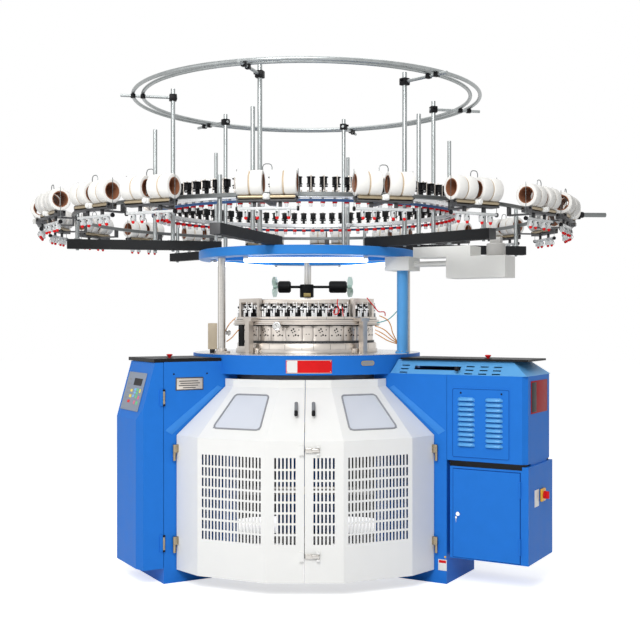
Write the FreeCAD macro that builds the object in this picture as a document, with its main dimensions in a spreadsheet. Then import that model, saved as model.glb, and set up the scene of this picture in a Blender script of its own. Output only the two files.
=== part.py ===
import FreeCAD, Part
import math
import os
import types

import Sketcher

from FreeCAD import Placement, Rotation, Vector

# Large circular knitting machine, in millimetres, +Z up.
# The origin lies on the floor under the axis of the needle cylinder and the front faces -Y.
# A leg and all that hangs on it are drawn in the leg's own frame: x runs outwards along the leg,
# and the side that faces the front is at -y on the right leg and at +y on the left one.

SIZES = {
    # running and seating gaps
    "fit_gap": 0.3,
    "seam_gap": 3,
    "open_gap": 5,
    "sink": 1,
    # legs and base
    "leg_inner": 560,
    "leg_end_reach": 50,
    "leg_width": 400,
    "leg_rise": 67,
    "drive_leg_top": 1135,
    "anchor_radius": 810,
    "anchor_bore": 17,
    "anchor_depth": 30,
    "base_hub_radius": 150,
    "base_bottom": 20,
    "base_top": 70,
    "base_arm_width": 90,
    "pivot_radius": 40,
    "pivot_top": 90,
    # bed plate and its plates
    "bed_radius": 682,
    "bed_bore_gap": 6,
    "bed_seat_depth": 4,
    "bed_thickness": 105,
    "plate_thickness": 2,
    "red_plate_width": 250,
    "red_plate_height": 73,
    "red_plate_offset": 20,
    "rim_plate_drop": 58,
    "oval_plate_width": 74,
    "oval_plate_height": 20,
    "oval_plate_angle": 27,
    "data_plate_start": 770,
    "data_plate_width": 160,
    "data_plate_drop": 154,
    "data_plate_height": 67,
    # front and rear guards
    "guard_flat": 950,
    "guard_top_flat": 665,
    "guard_bottom": 72,
    "guard_slope_height": 257,
    "guard_band": 43,
    "guard_top_gap": 26,
    "guard_sheet": 4,
    "guard_leg_gap": 5,
    "slot_width": 10,
    "slot_pitch": 20,
    "slot_bottom": 271,
    "slot_top_margin": 86,
    "front_slot_start": 51,
    "window_top_margin": 39,
    "window_bottom_margin": 49,
    "window_top_half": 101,
    "window_bottom_half": 141,
    "window_lap": 14,
    "window_pane": 4,
    "handle_offset": 46,
    "handle_length": 90,
    "handle_rise": 138,
    "handle_standoff": 24,
    "handle_radius": 6,
    "hinge_radius": 7,
    "hinge_axis_inset": 5,
    "hinge_axis_off": 15,
    "hinge_leaf_reach": 24,
    "upper_hinge_drop": 138,
    "lower_hinge_bottom": 167,
    "hinge_height": 87,
    # latches across the seam of the front guards
    "upper_latch_drop": 70,
    "lower_latch_bottom": 188,
    "latch_height": 48,
    "latch_lug": 10,
    "latch_reach": 70,
    "latch_thickness": 17,
    "catch_width": 25,
    # knitting head
    "cylinder_radius": 330,
    "cylinder_wall": 22,
    "cylinder_top_drop": 3,
    "skirt_step": 26,
    "skirt_drop": 11,
    "cam_count": 26,
    "cam_gap": 8,
    "cam_depth": 62,
    "cam_height": 91,
    "saddle_reach": 27,
    "saddle_lip": 2,
    "saddle_height": 76,
    "cap_reach": 44,
    "cap_lip": 2,
    "cap_thickness": 20,
    "head_post": 34,
    "head_post_gap": 2,
    "head_clamp_height": 19,
    "head_clamp_reach": 75,
    "guide_count": 30,
    "guide_reach": 5,
    "guide_height": 75,
    "guide_width": 16,
    "guide_depth": 10,
    "portal_inset": 2,
    "portal_width": 220,
    "portal_bar": 22,
    "portal_height": 133,
    "gauge_radius": 21,
    "gauge_depth": 16,
    "gauge_place": -165,
    "gauge_drop": 26,
    "gauge_stem": 8,
    "gauge_stem_lap": 14,
    # fabric take-down inside the guards
    "takedown_inset": 20,
    "takedown_arm": 40,
    "takedown_depth": 120,
    "takedown_beam_top": 130,
    "takedown_leg_gap": 40,
    "takedown_ring_lip": 34,
    "takedown_ring_height": 25,
    "draw_roller_radius": 30,
    "draw_roller_height": 780,
    "winding_bar_radius": 25,
    "winding_bar_height": 400,
    "journal_radius": 12,
    # columns, upper ring and lamps
    "steel_column_radius": 22,
    "steel_column_inset": 30,
    "drive_column_radius": 32,
    "drive_column_inset": 9,
    "ring_bed_step": 33,
    "ring_width": 114,
    "column_height": 555,
    "ring_height": 51,
    "cross_bar_width": 70,
    "lamp_inset": 85,
    "lamp_length": 700,
    "lamp_radius": 15,
    "lamp_drop": 21,
    # beams and posts of the yarn gallery
    "beam_count": 6,
    "beam_angle": 12.6,
    "beam_lap": 15,
    "beam_overhang": 56,
    "beam_side": 55,
    "tall_post_inset": 81,
    "tall_post_radius": 13,
    "tall_post_length": 895,
    "short_post_radius": 12,
    "short_post_length": 651,
    "creel_post_place": 1354,
    "creel_post_radius": 12,
    "creel_post_length": 237,
    "arm_tail": 25,
    "arm_length": 330,
    "arm_drop": 52,
    "arm_side": 18,
    "clamp_side": 44,
    "top_ring_inset": 73,
    "top_ring_step": 57,
    "top_ring_tube": 11,
    # creel units
    "creel_ring_height": 20,
    "creel_ring_rise": 123,
    "creel_ring_width": 16,
    "creel_ring_clear": 4,
    "bracket_drop_thickness": 12,
    "creel_bar_radius": 14,
    "creel_bar_rise": 59,
    "creel_bar_inset": 120,
    "creel_bar_length": 180,
    "creel_bar_angle": 4,
    "package_reach": 196,
    "package_radius": 61,
    "package_width": 122,
    "package_offset": 79,
    "roller_radius": 11,
    "roller_length": 272,
    "bracket_width": 34,
    "bracket_drop": 50,
    "bracket_thickness": 14,
    "sensor_rail_length": 285,
    "sensor_rail_height": 15,
    "sensor_rail_drop": 35,
    "sensor_width": 22,
    "sensor_depth": 26,
    "sensor_height": 42,
    "sensor_inner_offset": 46,
    "sensor_outer_offset": 100,
    # yarn feeders
    "feeder_count": 90,
    "feeder_ring_width": 46,
    "feeder_ring_inner": 886,
    "feeder_ring_rise": 171,
    "feeder_ring_height": 24,
    "feeder_width": 39,
    "feeder_depth": 50,
    "feeder_height": 84,
    "feeder_belt_inset": 4,
    "feeder_belt_width": 4,
    "feeder_belt_drop": 23,
    "feeder_belt_height": 15,
    "feeder_shaft_step": 10,
    "feeder_shaft_off": 60,
    "feeder_shaft_radius": 10,
    # drive cases beside the right column
    "transfer_side": 150,
    "transfer_height": 78,
    "cross_tube_radius": 16,
    "cross_tube_drop": 43,
    "cross_tube_reach": 296,
    "case_length": 345,
    "lower_case_front": 60,
    "lower_case_back": 98,
    "lower_case_height": 120,
    "lower_case_drop": 8,
    "upper_case_reach": 95,
    "upper_case_height": 59,
    "blower_inset": 81,
    "blower_radius": 52,
    "blower_height": 109,
    # fans over the head
    "fan_shaft_radius": 15,
    "fan_hub_radius": 48,
    "fan_hub_below": 64,
    "fan_hub_above": 15,
    "fan_motor_radius": 36,
    "fan_drop": 160,
    "left_fan_motor_start": 96,
    "left_fan_motor_length": 78,
    "right_fan_motor_start": 134,
    "right_fan_motor_length": 109,
    "fan_arm_radius": 8,
    "fan_blade_length": 62,
    "fan_blade_width": 44,
    "fan_blade_thickness": 3,
    "fan_blade_pitch": 25,
    "fan_nose_radius": 12,
    "fan_nose_length": 30,
    # control box on the left leg
    "sheet": 3,
    "control_depth": 136,
    "control_lean": 86,
    "control_back": 170,
    "control_bottom": 85,
    "control_slope_height": 310,
    "control_top_drop": 2,
    "control_chamfer_out": 18,
    "control_chamfer_side": 65,
    "keypad_width": 270,
    "keypad_length": 215,
    "keypad_thickness": 6,
    "keypad_drop": 164,
    "box_hinge_radius": 6,
    "box_hinge_length": 90,
    "box_hinge_drop": 235,
    "box_hinge_rise": 91,
    # top plates and emergency buttons
    "leg_plate_thickness": 19,
    "left_plate_overhang": 6,
    "right_plate_lead": 10,
    "right_plate_inset": 10,
    "right_plate_half": 150,
    "lid_plate_thickness": 11,
    "button_radius": 16,
    "button_height": 15,
    "button_stem": 8,
    "button_travel": 5,
    "button_rest_gap": 2,
    "left_button_place": 927,
    "right_button_place": 1199,
    "button_side": 100,
    # right cabinet
    "cover_bottom": 674,
    "cover_length": 450,
    "cover_chamfer": 25,
    "cover_leg_gap": 2,
    "lid_bed_gap": 8,
    "lid_top_half": 130,
    "lid_end_slope": 99,
    "vent_width": 46,
    "vent_height": 6,
    "vent_pitch": 18.5,
    "vent_rise": 7,
    "first_vent_inset": 49,
    "second_vent_inset": 53,
    "third_vent_step": 80,
    "fourth_vent_step": 76,
    "lever_slot_inset": 106,
    "lever_slot_length": 273,
    "lever_slot_height": 20,
    "lever_pivot_inset": 134,
    "lever_pivot_side": 135,
    "lever_rise": 33,
    "lever_thickness": 10,
    "lever_width": 22,
    "lever_swing": 21,
    "lever_knob_side": 232,
    "lever_knob_radius": 12,
    "lever_knob_height": 32,
    "louvre_inset": 37,
    "louvre_panel_width": 322,
    "louvre_lift": 17,
    "louvre_drop": 66,
    "louvre_width": 98,
    "louvre_pitch": 27,
    "louvre_gap": 9,
    "louvre_lap": 13,
    "louvre_margin": 28,
    "louvre_column_pitch": 157,
    "motor_reach": 250,
    "motor_radius": 90,
    "motor_lift": 46,
    "motor_drop": 55,
    "motor_foot": 12,
    "motor_foot_half": 110,
    "motor_shaft_radius": 14,
    "pulley_rise": 4,
    "pulley_height": 18,
    "motor_pulley_radius": 50,
    "drive_shaft_inset": 80,
    "drive_shaft_radius": 20,
    "drive_shaft_depth": 195,
    "drive_pulley_radius": 66,
    "belt_thickness": 4,
    "belt_height": 16,
    "cabinet_gap": 20,
    "cabinet_length": 440,
    "cabinet_bottom": 148,
    "cabinet_clear": 12,
    "cabinet_mount_half": 150,
    "cabinet_spacer_inset": 18,
    "door_inset": 20,
    "door_width": 374,
    "door_sill": 8,
    "door_header": 33,
    "door_lap": 6,
    "lock_inset": 29,
    "lock_height": 389,
    "lock_radius": 12,
    "lock_length": 8,
    "switch_height": 492,
    "switch_side": 20,
    "switch_plate": 69,
    "switch_base": 12,
    "switch_knob_radius": 22,
    "switch_knob_length": 28,
    "end_plate_width": 110,
    "end_plate_drop": 230,
    "end_plate_height": 185,
}

LEG_ANGLES = {"leg_left": 210, "leg_right": -30, "leg_rear": 90}
GUARD_SIDES = 15
HOOP_SIDES = 30
GUARD_STEP = 360 / GUARD_SIDES
HEAD_POST_ANGLES = (45, 135, 225, 315)
PORTAL_ANGLES = (35, 145, 215, 325)
FRONT_SLOTS = 6
SIDE_SLOTS = 18
PACKAGE_SIDES = 10
JOURNAL_SIDES = 8
NARROW_CAM_START = 266.9
NARROW_CAM_SPAN = 9
POST_CLEAR_ANGLE = 8
PORTAL_CLEAR_ANGLE = 4
FRONT_UNIT_ANGLES = (-60, -42, -28, -6, 14, 32, 51, 67)
UNIT_COUNT = 20
LOUVRE_ROWS = 10
BELT_STEPS = 12
VENT_ROWS = 3

UP = Vector(0, 0, 1)
AXIS_TURNS = {
    "X": Rotation(Vector(0, 1, 0), 90),
    "Y": Rotation(Vector(1, 0, 0), -90),
    "Z": Rotation(),
}
PLANE_TURNS = {
    "XY": Rotation(),
    "XZ": Rotation(Vector(1, 0, 0), 90),
}


class Term:
    """A number together with the expression over spreadsheet cells that gives it."""

    def __init__(self, text, number):
        self.text = text
        self.number = number

    def __float__(self):
        return self.number

    def __add__(self, other):
        return Term("(%s + %s)" % (self.text, term(other).text), self.number + float(other))

    def __sub__(self, other):
        return Term("(%s - %s)" % (self.text, term(other).text), self.number - float(other))

    def __mul__(self, other):
        return Term("(%s * %s)" % (self.text, term(other).text), self.number * float(other))

    def __truediv__(self, other):
        return Term("(%s / %s)" % (self.text, term(other).text), self.number / float(other))

    def __rsub__(self, other):
        return term(other) - self

    def __neg__(self):
        return term(0) - self

    __radd__ = __add__
    __rmul__ = __mul__


def term(value):
    """The value as a Term, whether it is one already or a plain number."""
    if isinstance(value, Term):
        return value
    return Term("(%r)" % float(value), float(value))


def make_sheet():
    """The spreadsheet of driving dimensions, and a Term for each of its cells."""
    sheet = doc.addObject("Spreadsheet::Sheet", "Sizes")
    for row, (alias, value) in enumerate(SIZES.items(), start=1):
        sheet.set("A%d" % row, alias)
        sheet.set("B%d" % row, str(value))
        sheet.setAlias("B%d" % row, alias)
    doc.recompute()
    cells = {alias: Term("Sizes." + alias, float(getattr(sheet, alias))) for alias in SIZES}
    return types.SimpleNamespace(**cells)


def add_places(c):
    """Reaches and heights that stack up on the sizes of what carries them."""
    # outwards along a leg
    c.leg_outer = c.guard_flat + c.leg_end_reach
    c.hinge_axis_out = c.guard_flat - c.hinge_axis_inset
    c.takedown_ring_outer = c.leg_inner - c.takedown_leg_gap
    c.takedown_reach = c.takedown_ring_outer - c.takedown_inset
    c.control_end = c.leg_outer + c.control_depth
    c.control_top_end = c.control_end - c.control_lean
    c.left_plate_end = c.control_top_end + c.left_plate_overhang
    c.cover_end = c.leg_outer + c.cover_length
    c.right_plate_end = c.cover_end - c.right_plate_inset
    c.lid_top_end = c.cover_end - c.lid_end_slope
    c.louvre_start = c.leg_outer + c.louvre_inset
    c.louvre_end = c.louvre_start + c.louvre_panel_width
    c.first_louvre = c.louvre_start + c.louvre_margin
    c.second_louvre = c.first_louvre + c.louvre_column_pitch
    c.motor_place = c.leg_outer + c.motor_reach
    c.cabinet_start = c.leg_outer + c.cabinet_gap
    c.cabinet_end = c.cabinet_start + c.cabinet_length
    c.door_start = c.cabinet_start + c.door_inset
    c.door_end = c.door_start + c.door_width
    c.lock_place = c.door_start + c.lock_inset
    # round the cylinder
    c.cam_inner = c.cylinder_radius + c.cam_gap
    c.cam_outer = c.cam_inner + c.cam_depth
    c.saddle_inner = c.cam_inner - c.saddle_lip
    c.saddle_outer = c.cam_outer + c.saddle_reach
    c.cap_inner = c.cam_inner + c.cap_lip
    c.cap_outer = c.cam_outer + c.cap_reach
    c.head_post_radius = c.cap_outer + c.head_post * 0.5 + c.head_post_gap
    c.guide_radius = c.cam_outer + c.guide_reach
    c.portal_radius = c.cam_outer - c.portal_inset
    c.skirt_radius = c.cylinder_radius - c.skirt_step
    c.bed_bore = c.skirt_radius + c.bed_bore_gap
    c.takedown_ring_inner = c.skirt_radius - c.takedown_ring_lip
    # round the bed and the upper ring
    c.lid_start = c.bed_radius + c.lid_bed_gap
    c.right_plate_start = c.lid_start + c.right_plate_lead
    c.drive_shaft_place = c.lid_start + c.drive_shaft_inset
    c.lever_slot_start = c.lid_start + c.lever_slot_inset
    c.lever_slot_end = c.lever_slot_start + c.lever_slot_length
    c.lever_pivot_place = c.lever_slot_start + c.lever_pivot_inset
    c.first_vent_place = c.lid_start + c.first_vent_inset
    c.second_vent_place = c.lever_slot_end + c.second_vent_inset
    c.third_vent_place = c.second_vent_place + c.third_vent_step
    c.fourth_vent_place = c.third_vent_place + c.fourth_vent_step
    c.ring_outer = c.bed_radius - c.ring_bed_step
    c.ring_inner = c.ring_outer - c.ring_width
    c.steel_column_place = c.ring_inner + c.steel_column_inset
    c.drive_column_place = c.ring_outer - c.drive_column_inset
    c.feeder_shaft_place = c.drive_column_place + c.feeder_shaft_step
    c.lamp_place = c.ring_inner - c.lamp_inset
    c.lower_case_start = c.drive_column_place + c.cross_tube_reach
    c.lower_case_end = c.lower_case_start + c.case_length
    c.upper_case_start = c.drive_column_place + c.upper_case_reach
    c.upper_case_end = c.upper_case_start + c.case_length
    c.blower_place = c.lower_case_end - c.blower_inset
    # outwards along a beam
    c.tall_post_place = c.feeder_ring_inner - c.tall_post_inset
    c.feeder_ring_outer = c.feeder_ring_inner + c.feeder_ring_width
    c.feeder_belt_radius = c.feeder_ring_outer - c.feeder_belt_inset
    c.beam_start = c.ring_inner - c.beam_lap
    c.beam_end = c.creel_post_place + c.beam_overhang
    c.arm_start = c.tall_post_place - c.arm_tail
    c.arm_end = c.arm_start + c.arm_length
    c.top_ring_outer = c.arm_end - c.top_ring_inset
    c.top_ring_inner = c.top_ring_outer - c.top_ring_step
    c.package_place = c.creel_post_place + c.package_reach
    c.creel_bar_start = c.package_place + c.creel_bar_inset
    c.creel_bar_end = c.creel_bar_start + c.creel_bar_length
    # heights of the legs, the bed and the guards
    c.leg_top = c.drive_leg_top + c.leg_rise
    c.bed_bottom = c.drive_leg_top - c.bed_seat_depth
    c.bed_top = c.bed_bottom + c.bed_thickness
    c.rim_plate_middle = c.bed_top - c.rim_plate_drop
    c.data_plate_bottom = c.leg_top - c.data_plate_drop
    c.guard_top = c.bed_bottom - c.guard_top_gap
    c.guard_neck = c.guard_top - c.guard_band
    c.guard_shoulder = c.guard_neck - c.guard_slope_height
    c.slot_top = c.guard_shoulder - c.slot_top_margin
    c.window_top = c.guard_neck - c.window_top_margin
    c.window_bottom = c.guard_shoulder + c.window_bottom_margin
    c.handle_height = c.guard_shoulder + c.handle_rise
    c.upper_hinge_bottom = c.guard_shoulder - c.upper_hinge_drop
    c.upper_latch_bottom = c.guard_shoulder - c.upper_latch_drop
    # heights of the head
    c.skirt_bottom = c.bed_bottom - c.skirt_drop
    c.cylinder_bottom = c.bed_top + c.open_gap
    c.saddle_top = c.bed_top + c.saddle_height
    c.cam_top = c.saddle_top + c.cam_height
    c.cap_top = c.cam_top + c.cap_thickness
    c.cylinder_top = c.cap_top - c.cylinder_top_drop
    c.portal_top = c.cap_top + c.portal_height
    # heights of the upper ring and what it carries
    c.ring_bottom = c.bed_top + c.column_height
    c.ring_top = c.ring_bottom + c.ring_height
    c.beam_top = c.ring_top + c.beam_side
    c.lamp_height = c.ring_bottom - c.lamp_drop
    c.transfer_bottom = c.ring_bottom - c.transfer_height
    c.cross_tube_height = c.ring_bottom - c.cross_tube_drop
    c.lower_case_top = c.ring_bottom - c.lower_case_drop
    c.lower_case_bottom = c.lower_case_top - c.lower_case_height
    c.upper_case_top = c.lower_case_top + c.upper_case_height
    c.blower_top = c.lower_case_top + c.blower_height
    c.fan_motor_height = c.ring_bottom - c.fan_drop
    c.fan_hub_bottom = c.fan_motor_height - c.fan_hub_below
    c.fan_hub_top = c.fan_motor_height + c.fan_hub_above
    # heights of the yarn gallery
    c.tall_post_top = c.beam_top + c.tall_post_length
    c.arm_middle = c.tall_post_top - c.arm_drop
    c.short_post_top = c.beam_top + c.short_post_length
    c.creel_post_top = c.beam_top + c.creel_post_length
    c.feeder_ring_bottom = c.beam_top + c.feeder_ring_rise
    c.feeder_belt_bottom = c.feeder_ring_bottom - c.feeder_belt_drop
    c.creel_ring_bottom = c.beam_top + c.creel_ring_rise
    c.creel_bar_height = c.creel_ring_bottom + c.creel_bar_rise
    c.bracket_bottom = c.creel_ring_bottom - c.bracket_drop
    c.bracket_top = c.bracket_bottom + c.bracket_thickness
    c.sensor_rail_bottom = c.bracket_bottom - c.sensor_rail_drop
    # heights of the control box, the lid, the cover and the cabinet
    c.control_top = c.leg_top - c.control_top_drop
    c.control_slope_start = c.control_top - c.control_slope_height
    c.keypad_middle = c.control_top - c.keypad_drop
    c.box_hinge_upper = c.control_top - c.box_hinge_drop
    c.box_hinge_lower = c.control_bottom + c.box_hinge_rise
    c.top_plate_top = c.leg_top + c.leg_plate_thickness
    c.right_plate_bottom = c.top_plate_top - c.lid_plate_thickness
    c.vent_bottom = c.drive_leg_top + c.vent_rise
    c.lever_middle = c.drive_leg_top + c.lever_rise
    c.pulley_bottom = c.drive_leg_top + c.pulley_rise
    c.drive_shaft_bottom = c.drive_leg_top - c.drive_shaft_depth
    c.motor_top = c.drive_leg_top - c.motor_drop
    c.motor_bottom = c.cover_bottom + c.motor_lift
    c.louvre_bottom = c.cover_bottom + c.louvre_lift
    c.louvre_top = c.drive_leg_top - c.louvre_drop
    c.end_plate_bottom = c.drive_leg_top - c.end_plate_drop
    c.cabinet_top = c.cover_bottom - c.cabinet_clear
    c.door_bottom = c.cabinet_bottom + c.door_sill
    c.door_top = c.cabinet_top - c.door_header


doc = FreeCAD.newDocument("KnittingMachine")
S = make_sheet()
add_places(S)
NODES = {}


# ---- helpers -----------------------------------------------------------------------------------

def tie(item, **sizes):
    """Sets properties of an item, bound to the spreadsheet where the size is a Term."""
    for path, size in sizes.items():
        if isinstance(size, Term):
            item.setExpression(path, size.text)
        else:
            setattr(item, path, size)


def seat(item, x, y, z, turn=Rotation()):
    """Puts an item at a place that follows the spreadsheet."""
    item.Placement = Placement(Vector(float(x), float(y), float(z)), turn)
    for letter, size in zip("xyz", (x, y, z)):
        if isinstance(size, Term):
            item.setExpression("Placement.Base." + letter, size.text)


def about(middle, width):
    """The span of a width centred on a middle."""
    return middle - width * 0.5, middle + width * 0.5


def box(name, x, y, z):
    """A block between the two ends of its spans in x, y and z."""
    item = doc.addObject("Part::Box", name)
    tie(item, Length=x[1] - x[0], Width=y[1] - y[0], Height=z[1] - z[0])
    seat(item, x[0], y[0], z[0])
    return item


def rod(name, radius, start, length, axis="Z"):
    """A round bar that runs from its start along an axis."""
    item = doc.addObject("Part::Cylinder", name)
    tie(item, Radius=radius, Height=length)
    seat(item, *start, turn=AXIS_TURNS[axis])
    return item


def bar(name, sides, radius, start, length, axis="Z", spin=0):
    """A bar with a regular cross-section, its corners at the radius."""
    item = doc.addObject("Part::Prism", name)
    tie(item, Polygon=sides, Circumradius=radius, Height=length)
    seat(item, *start, turn=AXIS_TURNS[axis].multiply(Rotation(UP, spin)))
    return item


def outline(name, plane, points):
    """A closed sketch through points, each tied to the spreadsheet by its distances."""
    sketch = doc.addObject("Sketcher::SketchObject", name)
    sketch.Placement = Placement(Vector(), PLANE_TURNS[plane])
    count = len(points)
    corners = [Vector(float(x), float(y), 0) for x, y in points]
    for index in range(count):
        sketch.addGeometry(Part.LineSegment(corners[index], corners[(index + 1) % count]), False)
    for index in range(count):
        sketch.addConstraint(Sketcher.Constraint("Coincident", index, 2, (index + 1) % count, 1))
    for index, point in enumerate(points):
        for direction, size in zip(("DistanceX", "DistanceY"), point):
            constraint = Sketcher.Constraint(direction, -1, 1, index, 1, float(size))
            number = sketch.addConstraint(constraint)
            if isinstance(size, Term):
                sketch.setExpression("Constraints[%d]" % number, size.text)
    return sketch


def extrusion(name, sketch, length, start=0):
    """A sketch drawn out square to its plane, from a distance off the plane."""
    item = doc.addObject("Part::Extrusion", name)
    item.Base = sketch
    item.DirMode = "Normal"
    item.Solid = True
    tie(item, LengthFwd=length, LengthRev=-term(start))
    return item


def fuse(name, *items):
    """One solid made of touching or overlapping ones."""
    item = doc.addObject("Part::MultiFuse", name)
    item.Shapes = list(items)
    item.Refine = True
    return item


def cut(name, base, *tools):
    """A solid less its tools."""
    item = doc.addObject("Part::Cut", name)
    item.Base = base
    item.Tool = tools[0] if len(tools) == 1 else group(name + "_tools", *tools)
    return item


def common(name, base, tool):
    """What two solids share."""
    item = doc.addObject("Part::Common", name)
    item.Base = base
    item.Tool = tool
    return item


def group(name, *items):
    """Several solids kept side by side."""
    item = doc.addObject("Part::Compound", name)
    item.Links = list(items)
    return item


def turned(name, angle, *items):
    """Items drawn in a turned frame, such as a leg's."""
    item = group(name, *items)
    item.Placement = Placement(Vector(), Rotation(UP, angle))
    return item


def around(name, template, angles):
    """Copies of a template turned about the axis of the machine."""
    doc.recompute()
    copies = []
    for angle in angles:
        for solid in template.Shape.Solids:
            copy = solid.copy()
            copy.rotate(Vector(), UP, angle)
            copies.append(copy)
    item = doc.addObject("Part::Feature", name)
    item.Shape = Part.makeCompound(copies)
    return item


def faceted_solid(name, polygons):
    """A solid closed by flat faces, each given by its corners."""
    faces = [Part.Face(Part.makePolygon(list(corners) + [corners[0]])) for corners in polygons]
    solid = Part.Solid(Part.makeShell(faces))
    if solid.Volume < 0:
        solid.reverse()
    item = doc.addObject("Part::Feature", name)
    item.Shape = solid
    return item


def even_angles(count, first=0.0):
    """Angles that share a full turn evenly."""
    return [first + 360 * index / count for index in range(count)]


def round_ring(name, outer, inner, z):
    """A flat ring with round faces."""
    height = z[1] - z[0]
    return cut(name, rod(name + "_disc", outer, (0, 0, z[0]), height),
               rod(name + "_bore", inner, (0, 0, z[0]), height))


def sided_ring(name, sides, outer, inner, z):
    """A thin ring rolled in short straight lengths."""
    height = z[1] - z[0]
    return cut(name, bar(name + "_disc", sides, outer, (0, 0, z[0]), height),
               bar(name + "_bore", sides, inner, (0, 0, z[0]), height))


def node(label, item):
    """Names a finished sub-part after its file."""
    item.Label = label
    NODES[label] = item
    return item


# ---- legs, base and bed ------------------------------------------------------------------------

def hinge_barrel(name, out, side, z):
    """One half of a hinge on a leg's face: a leaf and its barrel."""
    front = side * (S.leg_width * 0.5)
    axis = side * (S.leg_width * 0.5 + S.hinge_axis_off)
    leaf = box(name + "_leaf", about(out, S.hinge_radius * 2), span(front, axis), z)
    return fuse(name, leaf, bar(name + "_barrel", 8, S.hinge_radius, (out, axis, z[0]), z[1] - z[0]))


def span(first, second):
    """Two ends in rising order."""
    return (first, second) if float(first) < float(second) else (second, first)


def make_legs():
    """Cast legs with a round seat for the bed and a tapped anchor hole below."""
    for label, angle in LEG_ANGLES.items():
        top = S.drive_leg_top if label == "leg_right" else S.leg_top
        body = box(label + "_body", (S.leg_inner, S.leg_outer), about(0, S.leg_width), (0, top))
        seat_cut = rod(label + "_seat", S.bed_radius + S.fit_gap, (0, 0, S.bed_bottom),
                       S.leg_top)
        anchor = rod(label + "_anchor", S.anchor_bore * 0.5, (S.anchor_radius, 0, 0),
                     S.anchor_depth)
        tools = [seat_cut, anchor]
        if label == "leg_right":
            tools.append(bar("drive_shaft_bore", 12, S.drive_shaft_radius + S.open_gap,
                             (S.drive_shaft_place, 0, S.drive_shaft_bottom), S.leg_top))
        leg = cut(label + "_casting", body, *tools)
        side = {"leg_right": -1, "leg_left": 1}.get(label)
        pieces = [leg]
        if side:
            half = S.hinge_height * 0.5
            for name, bottom in (("upper", S.upper_hinge_bottom), ("lower", S.lower_hinge_bottom)):
                pieces.append(hinge_barrel("%s_%s_hinge" % (label, name), S.hinge_axis_out, side,
                                           (bottom, bottom + half - S.fit_gap)))
            leg = fuse(label + "_hinged", *pieces)
        node(label, turned(label + "_turned", angle, leg))


def make_base():
    """Floor frame that ties the legs and carries the pivot of the take-down."""
    height = S.base_top - S.base_bottom
    hub = bar("base_hub", 24, S.base_hub_radius, (0, 0, S.base_bottom), height)
    arm = box("base_arm", (S.base_hub_radius * 0.7, S.leg_inner), about(0, S.base_arm_width),
              (S.base_bottom, S.base_top))
    arms = around("base_arms", arm, LEG_ANGLES.values())
    pin = bar("base_pin", 16, S.pivot_radius, (0, 0, S.base_bottom), S.pivot_top - S.base_bottom)
    node("base_frame", fuse("base_body", hub, arms, pin))


def rim_plate(name, width, height, angle):
    """A thin plate rolled to the rim of the bed, centred at an angle from the front."""
    thickness = S.plate_thickness
    z = about(S.rim_plate_middle, height)
    shell = round_ring(name + "_shell", S.bed_radius + S.fit_gap + thickness,
                       S.bed_radius + S.fit_gap, z)
    window = box(name + "_window", about(0, width), (-S.bed_radius * 1.1, -S.bed_radius * 0.8), z)
    return turned(name, angle, common(name + "_plate", shell, window))


def make_bed():
    """Bed plate that carries the head, and the bare plates that label the machine."""
    height = S.bed_top - S.bed_bottom
    disc = rod("bed_disc", S.bed_radius, (0, 0, S.bed_bottom), height)
    bore = bar("bed_well", 36, S.bed_bore, (0, 0, S.bed_bottom), height)
    node("bed_plate", cut("bed_body", disc, bore))
    shift = math.degrees(float(S.red_plate_offset) / float(S.bed_radius))
    red = rim_plate("red_plate", S.red_plate_width, S.red_plate_height, shift)
    oval = rim_plate("oval_plate", S.oval_plate_width, S.oval_plate_height,
                     float(S.oval_plate_angle))
    front = S.leg_width * 0.5
    data = box("data_plate", (S.data_plate_start, S.data_plate_start + S.data_plate_width),
               (front, front + S.plate_thickness),
               (S.data_plate_bottom, S.data_plate_bottom + S.data_plate_height))
    end = box("end_plate", (S.cover_end, S.cover_end + S.plate_thickness),
              about(0, S.end_plate_width),
              (S.end_plate_bottom, S.end_plate_bottom + S.end_plate_height))
    switch = box("switch_plate_block", (S.cabinet_end, S.cabinet_end + S.switch_base),
                 about(S.switch_side, S.switch_plate), about(S.switch_height, S.switch_plate))
    node("label_plates", group("label_group", red, oval, turned("data_turned", 210, data),
                               turned("end_turned", -30, end, switch)))


# ---- guards ------------------------------------------------------------------------------------

def guard_block(name, inset):
    """The faceted body of the guards, shrunk by an inset."""
    levels = ((S.guard_flat, S.guard_bottom), (S.guard_flat, S.guard_shoulder),
              (S.guard_top_flat, S.guard_neck), (S.guard_top_flat, S.guard_top))
    half_step = math.pi / GUARD_SIDES
    rings = []
    for flat, height in levels:
        radius = float(flat - inset) / math.cos(half_step)
        angles = [half_step * (2 * side + 1) - math.pi / 2 for side in range(GUARD_SIDES)]
        rings.append([Vector(radius * math.cos(angle), radius * math.sin(angle), float(height))
                      for angle in angles])
    quads = [(lower[side - 1], lower[side], upper[side], upper[side - 1])
             for lower, upper in zip(rings, rings[1:]) for side in range(GUARD_SIDES)]
    return faceted_solid(name, quads + [rings[0], rings[-1]])


def guard_sectors(name, gap):
    """The sheet of the guards in the three spaces between the legs, with a gap to each leg."""
    shell = cut(name + "_shell", guard_block(name + "_outside", 0),
                guard_block(name + "_inside", S.guard_sheet))
    clear = S.leg_width * 0.5 + gap
    passage = box(name + "_passage", (0, S.guard_flat * 1.2), (-clear, clear),
                  (S.guard_bottom, S.guard_top))
    return cut(name + "_sheets", shell,
               around(name + "_passages", passage, LEG_ANGLES.values()))


def window_prism(name, lap):
    """The outline of a window in the sloping facet, drawn out through the sheet."""
    points = ((-(S.window_bottom_half + lap), S.window_bottom - lap),
              (S.window_bottom_half + lap, S.window_bottom - lap),
              (S.window_top_half + lap, S.window_top + lap),
              (-(S.window_top_half + lap), S.window_top + lap))
    sketch = outline(name + "_outline", "XZ", points)
    return extrusion(name, sketch, S.guard_flat)


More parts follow.
